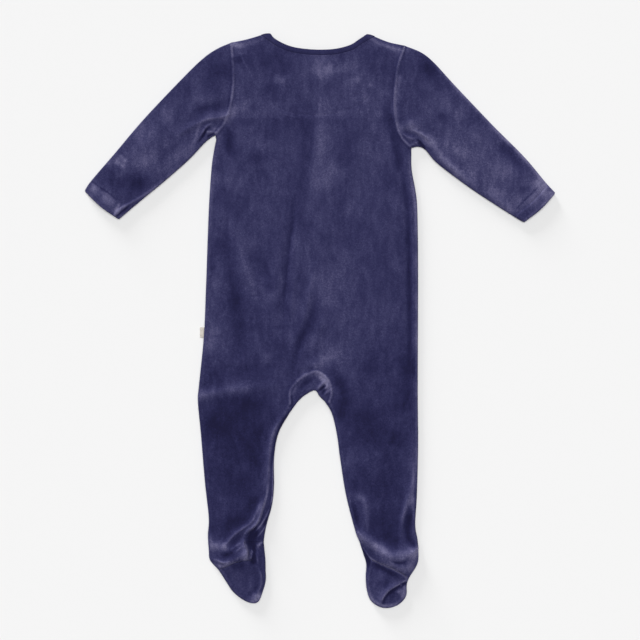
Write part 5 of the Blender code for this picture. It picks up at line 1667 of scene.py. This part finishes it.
@dataclass
class Foot:
    """One foot: its upper, which lies underneath, and the sole, which faces up."""

    half: Pattern
    spacing: float = 1.4
    upper_spacing: float = 5.0
    upper_rings: Row = (0.9, 2.4)
    columns: int = 12  # from the turn to the seam
    sole_dip: float = 1.4
    dip_reach: float = 7.0
    heel_reach: float = 40.0  # distance from the heel over which the dip is worked out
    upper_cut: Cut = Cut(("foot_upper_left",), (0.070, 0.075), 0.0048)
    sole_cut: Cut = Cut(("sole_left",), (0.046, 0.052), 0.0018)

    def build(self, lay: Lay, finishes: Finishes) -> None:
        """Builds the upper and the sole."""
        half = self.half
        stations = half.feet()
        order = np.arange(len(stations))
        fade = np.exp(-np.minimum(order, order[::-1]) / 2.0)
        stations += fade[:, None] * np.array([0, -SEAM_GAP, 0, -SEAM_GAP])
        flat = stations[:, :2] + unit(stations[:, 2:] - stations[:, :2]) * FOLD_RADIUS
        ankle = spaced(np.array([flat[-1], flat[0]]), 3)[1:-1]
        places, triangles = filled(np.vstack([flat, ankle]), self.upper_spacing, self.upper_rings)
        cloth = Cloth()
        cloth.patch(lay.under(places), triangles)
        cloth.grid(lay.wrap(stations, self.columns))
        dress(cloth.finish(f"foot_velour_{half.name}", lay), finishes, self.upper_cut)
        seams = shifted(half.feet()[:, 2:], -half.side * SEAM_GAP / 2)[HEEL:-HEEL]
        down = np.array([0, SEAM_GAP / 2])
        outline = joined(seams, half.heel_line()[::-1] - down, seams[:1])
        outline = spaced(outline, self.spacing)[:-1]
        places, triangles = filled(outline, self.spacing)
        cloth = Cloth()
        cloth.patch(lay.over(places, self.dip(places)), triangles)
        dress(cloth.finish(f"sole_velour_{half.name}", lay), finishes, self.sole_cut)

    def dip(self, places: Array) -> Array:
        """Returns how far the sole lies lower, going in under the heel."""
        off = nearest(places, self.half.heel_line(), self.heel_reach)[0]
        return -self.sole_dip * bell(np.minimum(off, FAR), self.dip_reach)


@dataclass
class NeckBinding:
    """The neck binding: one strip round the neck, open at the centre front."""

    thick: float = 2.6
    roll: float = 2.7
    tip_reach: Row = (0.12, 0.32)  # of the sewn edge and the free one, round the shoulder's fold
    proud: float = 0.2
    crown: float = 0.35
    tip_crown: float = 1.7
    tip_round: float = 1.8  # how far its corner at the neck's edge is rounded off
    tuck: float = 1.3  # how far its underside goes in behind the cloth
    flare: Row = (1.7, 0.7)  # how much wider it is at the left fold and at the right one
    flare_reach: float = 8.0
    tip_light: float = 0.15
    tip_light_reach: float = 11.0
    clouds: Ripple = Ripple(0.1, 20, 20, 4.0)
    spacing: float = 3.0
    face_steps: int = 5  # across its outer face
    tip_steps: int = 7  # round the neck's edge
    fold_steps: int = 12  # round the shoulder's fold
    least_tuck: float = 0.05  # of tuck, where the binding turns at the shoulder's fold
    tuck_run: float = 4.0  # from there to the full tuck
    cut: Cut = Cut(("neck_binding",), (0.013, 0.330), 0.0035, slot="binding")

    def section(self, sewn: Array, free: Array, looks: Sequence[Array],
                crown: float, tuck: float) -> Array:
        """Draws the binding's cross-section.

        Args:
            sewn: The point where its outer face meets the cloth.
            free: The point that it reaches to at the neck's edge.
            looks: The ways that the outer face looks at sewn and at free.
            crown: How far it bulges between them.
            tuck: How far its underside goes in behind the cloth.

        Returns:
            The section's closed ring of points.
        """
        out = (free - sewn) / np.linalg.norm(free - sewn)
        sewn_look, free_look = looks
        radius = self.thick / 2
        ring = []
        for share in np.linspace(0, 1, self.face_steps + 1):
            look = sewn_look + (free_look - sewn_look) * share
            at = sewn + (free - out * radius - sewn) * share
            ring.append(at + look * crown * math.sin(math.pi * share))
        tip = free - out * radius - free_look * radius
        for angle in np.linspace(0, math.pi, self.tip_steps + 1)[1:-1]:
            ring.append(tip + free_look * radius * math.cos(angle) + out * radius * math.sin(angle))
        ring.append(tip - free_look * radius)
        ring.append((sewn + free) / 2 - (sewn_look + free_look) / 2 * self.thick)
        behind = sewn - sewn_look * (CLOTH + self.proud + SEAM_GAP)
        ring += [sewn - sewn_look * self.thick - out * tuck, behind - out * tuck, behind]
        return np.array(ring)

    def rows(self, half: Pattern, neck: Rows) -> Array:
        """Returns rows of the sewn edge and the free one, from the shoulder to the centre."""
        edges = smooth(np.hstack([half.neck_seam(neck), half.neck(neck)]), EDGE_STEPS)
        rows = spaced(edges, self.spacing)
        flare = self.flare[half.side > 0] * bell(run_of(rows), self.flare_reach)
        rows[:, 2:] += unit(rows[:, 2:] - rows[:, :2]) * flare[:, None]
        return rows

    def flat(self, rows: Array, levels: Iterable[float], look: float) -> list[Array]:
        """Returns the sections over rows from the shoulder's fold, facing up or down."""
        facing = np.array([0.0, 0.0, look])
        tucks = self.tuck * np.clip(run_of(rows) / self.tuck_run, self.least_tuck, 1)
        return [self.section(np.append(row[:2], level), np.append(row[2:], level),
                             (facing, facing), self.crown, tuck)
                for row, level, tuck in zip(rows, levels, tucks)]

    def run(self, half: Pattern, lay: Lay) -> list[Array]:
        """Returns the sections of one side, from the centre front to the centre back."""
        up = np.array([0.0, 0.0, 1.0])
        front, back = self.rows(half, half.front_neck), self.rows(half, half.back_neck)
        front[-1] += np.tile(np.array([half.side * SEAM_GAP, 0]), 2)
        levels = lay.upper(back[:, :2]) + self.proud
        fold = [np.append(place, 0.0) for place in (back[0, :2], back[0, 2:])]
        along = unit(fold[1] - fold[0])
        out = np.array([along[1], -along[0], 0.0]) * half.side
        runs = self.flat(front, [self.crown] * len(front), -1.0)[:0:-1]
        for angle in np.linspace(math.pi, 0, self.fold_steps + 1):
            looks = [out * math.sin(angle) * reach + up * math.cos(angle)
                     for reach in self.tip_reach]
            high = self.crown + (levels[0] - self.crown) * (1 + math.cos(angle)) / 2
            sewn, free = (place + up * high + out * (out @ look) * self.roll
                          for place, look in zip(fold, looks))
            free = free - along * self.tip_round * math.sin(angle) ** 2
            crown = self.crown + (self.tip_crown - self.crown) * math.sin(angle)
            runs.append(self.section(sewn, free, looks, crown, self.tuck * self.least_tuck))
        return runs + self.flat(back, levels, 1.0)[1:]

    def build(self, lay: Lay, finishes: Finishes) -> None:
        """Builds the binding."""
        left, right = (self.run(half, lay) for half in lay.halves)
        rings = left + right[-2::-1]
        count = len(rings[0])
        order = range(count * len(rings))
        faces: list[Sequence[int]] = []
        for first in order[:-count:count]:
            ring = order[first:first + count]
            faces += [(a, b, b + count, a + count) for a, b in zip((ring[-1], *ring), ring)]
        faces += [order[:count], order[-count:]]
        points = np.vstack(rings)
        places = points[:, :2]
        nap_and_painted_light = self.clouds.at(places)
        for half in lay.halves:
            away = np.linalg.norm(places - np.array(half.shoulder[-1]), axis=1)
            nap_and_painted_light += self.tip_light * bell(away, self.tip_light_reach)
        piece = new_piece("neck_binding_strip", points, faces, nap_and_painted_light)
        dress(piece, finishes, self.cut)


@dataclass
class Placket:
    """The strip behind the centre front, and the press studs that close on to it."""

    width: float = 28.0
    overlap: float = 8.0
    top: float = 274.0
    end: float = -48.0
    thick: float = 1.4
    clearance: float = 0.35  # between it and the fronts
    waves: Ripple = Ripple(0.08, 9, 14, 2.2)
    rows: int = 110
    columns: int = 15
    stud_count: int = 7
    stud_radius: float = 4.6
    stud_height: float = 1.6
    stud_recess: float = 0.2
    stud_sides: int = 40
    stud_edge: float = 0.45  # how far its rim is rounded
    stud_insets: Rows = ((0.75, 0), (0.3, -0.5), (1.9, 0), (0.35, 0.18))  # width and rise
    smooth_below: float = 50.0  # degrees between two of its faces
    stud_inset: float = 10.0
    stud_end: float = 12.0
    cut: Cut = Cut(("placket_strip",), (0.028, 0.322), slot="tape")

    def centre(self, halves: Sequence[Pattern], levels: Array) -> Array:
        """Returns the places where the fronts meet, at each height on the garment."""
        line = centre_line(halves)
        return np.column_stack([np.interp(-levels, -line[:, 1], line[:, 0]), levels])

    def build(self, lay: Lay, finishes: Finishes) -> None:
        """Builds the strip and the studs."""
        cloth = Cloth()
        levels = np.linspace(self.top, self.end, self.rows)
        shares = np.linspace(0, 1, self.columns)
        right = self.centre(lay.halves, levels) + np.array([self.overlap, 0])
        grid = across(right - np.array([self.width, 0]), right, shares)
        places = grid.reshape(-1, 2)
        height = CLOTH + SEAM_GAP + self.clearance + self.waves.at(places)
        rows = np.column_stack([places, height, places, height + self.thick])
        cloth.grid(rows.reshape(len(levels), len(shares), PAIR))
        dress(cloth.finish("placket_tape", lay), finishes, self.cut)
        model = self.cap(finishes["stud"])
        for number, (x, y, _) in enumerate(self.holes(lay.halves), 1):
            mesh = model.data.copy()
            mesh.name = f"stud_cap_{number}"
            mesh.transform(Matrix.Translation(Vector((x, y, 0)) * MM))
            piece = placed(mesh)
            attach(piece, BODY)
            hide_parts(f"stud_{number}")
        bpy.data.objects.remove(model)

    def holes(self, halves: Sequence[Pattern]) -> Rows:
        """Returns the middle and radius of the hole that each stud's cap sits in."""
        levels = np.linspace(self.top - self.stud_end, self.end + self.stud_end, self.stud_count)
        return tuple((x - self.stud_inset, y, self.stud_radius + SEAM_GAP)
                     for x, y in self.centre(halves, levels).tolist())

    def cap(self, enamel: Material) -> Piece:
        """Models a stud's cap at the origin: a flat rim round a sunk middle with a small pip."""
        bpy.ops.object.select_all(action="DESELECT")
        middle = (self.stud_recess + self.stud_height / 2) * MM
        bpy.ops.mesh.primitive_cylinder_add(vertices=self.stud_sides, radius=self.stud_radius * MM,
                                            depth=self.stud_height * MM, location=(0, 0, middle))
        bpy.ops.object.transform_apply()
        cap = bpy.context.object
        bpy.ops.object.mode_set(mode="EDIT")
        bpy.ops.mesh.select_mode(type="FACE")
        self.pick_face(cap)
        bpy.ops.mesh.bevel(offset=self.stud_edge * MM, segments=4, affect="EDGES")
        for thickness, depth in self.stud_insets:
            self.pick_face(cap)
            bpy.ops.mesh.inset(thickness=thickness * MM, depth=depth * MM)
        bpy.ops.object.mode_set(mode="OBJECT")
        bpy.ops.object.shade_smooth_by_angle(angle=math.radians(self.smooth_below))
        cap.data.materials.append(enamel)
        return cap

    def pick_face(self, cap: Piece) -> None:
        """Selects the face in the middle of the cap's outer side."""
        made = bmesh.from_edit_mesh(cap.data)
        found = min((face for face in made.faces if face.normal.z < -0.9),
                    key=lambda face: face.calc_center_median().xy.length - face.calc_area())
        for face in made.faces:
            face.select_set(face is found)
        bmesh.update_edit_mesh(cap.data)


@dataclass
class Label:
    """A blank folded tag let into a side seam."""

    half: Pattern
    length: float = 12.5
    reach: float = 4.4
    thick: float = 1.2
    tape: float = 0.35
    swell: float = 1.05  # how much thicker it is a little way out, at swell_place
    swell_place: float = 1.2
    rows: int = 14
    fold_steps: int = 8
    top: float = -8.8
    middle: float = 2.3
    wave: Row = (0.12, 0.9)  # how high its length waves, and by how much from row to row
    cut: Cut = Cut(("label",), (0.0125, 0.0125), 0.00013, slot="label")

    def build(self, lay: Lay, finishes: Finishes) -> None:
        """Builds the tag: one strip of tape, out from the seam, round its fold and back."""
        side = self.half.sides()
        levels = np.linspace(self.top, self.top - self.length, self.rows)
        edges = np.interp(-levels, -side[:, 1], side[:, 0]) - SEAM_GAP
        radius = self.thick / 2
        inside = radius - self.tape
        angles = np.linspace(math.pi / 2, 3 * math.pi / 2, self.fold_steps + 1)
        turn = edges.min() - self.reach + radius
        grid = np.zeros((len(levels), len(angles) + 4, PAIR))
        for i, (y, edge) in enumerate(zip(levels, edges)):
            middle = self.middle + self.wave[0] * math.sin(i * self.wave[1])
            near = edge - self.swell_place
            pairs = [(edge, edge, 1.0), (near, near, self.swell)]
            pairs += [(turn + radius * math.cos(a), turn + inside * math.cos(a), math.sin(a))
                      for a in angles]
            pairs += [(near, near, -self.swell), (edge, edge, -1.0)]
            for j, (x, inner_x, z) in enumerate(pairs):
                grid[i, j] = (x, y, middle + z * radius, inner_x, y, middle + z * inside)
        cloth = Cloth()
        cloth.grid(grid)
        dress(cloth.finish("side_tag", lay), finishes, self.cut)


# --- the studio ---


@dataclass
class Studio:
    """A pale floor, soft light mostly from above, and a camera looking straight down."""

    view_width: float = 0.768
    camera_height: float = 2.6
    floor_size: float = 20.0
    floor_level: float = -0.0002
    floor_grain: float = 300.0
    floor_roughness: Row = (0.9, 1.0)
    floor_colour: Colour = (0.80, 0.80, 0.80)
    ambient: float = 0.20
    # strength, then height, direction and width in degrees
    suns: tuple[tuple[str, float, float, float, float], ...] = (
        ("overhead light", 2.52, 84, 10, 40),
        ("window light", 2.60, 10.5, -28, 18),
    )

    def build(self) -> None:
        """Makes the floor, the lights and the camera."""
        scene = bpy.context.scene
        scene.view_settings.view_transform = "Standard"
        self.make_floor()
        world = bpy.data.worlds.new("studio")
        world.use_nodes = True
        Graph(world.node_tree).feed(world.node_tree.nodes["Background"],
                                    {"Color": (1, 1, 1, 1), "Strength": self.ambient})
        scene.world = world
        for name, strength, elevation, azimuth, size in self.suns:
            light = bpy.data.lights.new(name, "SUN")
            light.energy, light.angle = strength, math.radians(size)
            lamp = bpy.data.objects.new(name, light)
            up, turn = math.radians(elevation), math.radians(azimuth)
            towards = Vector((math.sin(turn) * math.cos(up), math.cos(turn) * math.cos(up),
                              math.sin(up)))
            lamp.rotation_euler = towards.to_track_quat("Z", "Y").to_euler()
            scene.collection.objects.link(lamp)
        camera = bpy.data.cameras.new("camera")
        camera.lens = camera.sensor_width * self.camera_height / self.view_width
        holder = bpy.data.objects.new("camera", camera)
        holder.location = (0, 0, self.camera_height)
        scene.collection.objects.link(holder)
        scene.camera = holder

    def make_floor(self) -> None:
        """Makes the floor, a matt sheet of pale card."""
        bpy.ops.object.select_all(action="DESELECT")
        bpy.ops.mesh.primitive_plane_add(size=self.floor_size, location=(0, 0, self.floor_level))
        floor = bpy.context.object
        floor.name = "floor"
        found, graph, shader = new_material("pale card")
        grain = graph.noise(graph.place(), self.floor_grain)
        grain = graph.spread(grain, 0.3, 0.7, *self.floor_roughness)
        graph.feed(shader, {"Base Color": (*self.floor_colour, 1), "Roughness": grain,
                            "Specular IOR Level": 0.0})
        floor.data.materials.append(found)


def main() -> None:
    """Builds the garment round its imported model."""
    logging.basicConfig(level=logging.INFO, format="%(name)s: %(message)s")
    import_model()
    Studio().build()
    finishes = make_finishes()
    lay = Lay((LEFT, RIGHT))
    placket = Placket()
    for assembly in (
            Back(),
            Front(LEFT, holes=placket.holes(lay.halves)),
            Front(RIGHT, cut=Cut(("front_right",), (0.155, 0.615), 0.066)),
            Gusset(),
            Sleeve(LEFT),
            Sleeve(RIGHT, cut=Cut(("sleeve_right",), (0.205, 0.230), 0.035)),
            Foot(LEFT),
            Foot(RIGHT, upper_cut=Cut(("foot_upper_right",), (0.073, 0.080), 0.0049),
                 sole_cut=Cut(("sole_right",), (0.048, 0.056), 0.0021)),
            NeckBinding(),
            placket,
            Label(LEFT)):
        assembly.build(lay, finishes)


if __name__ == "__main__":
    main()
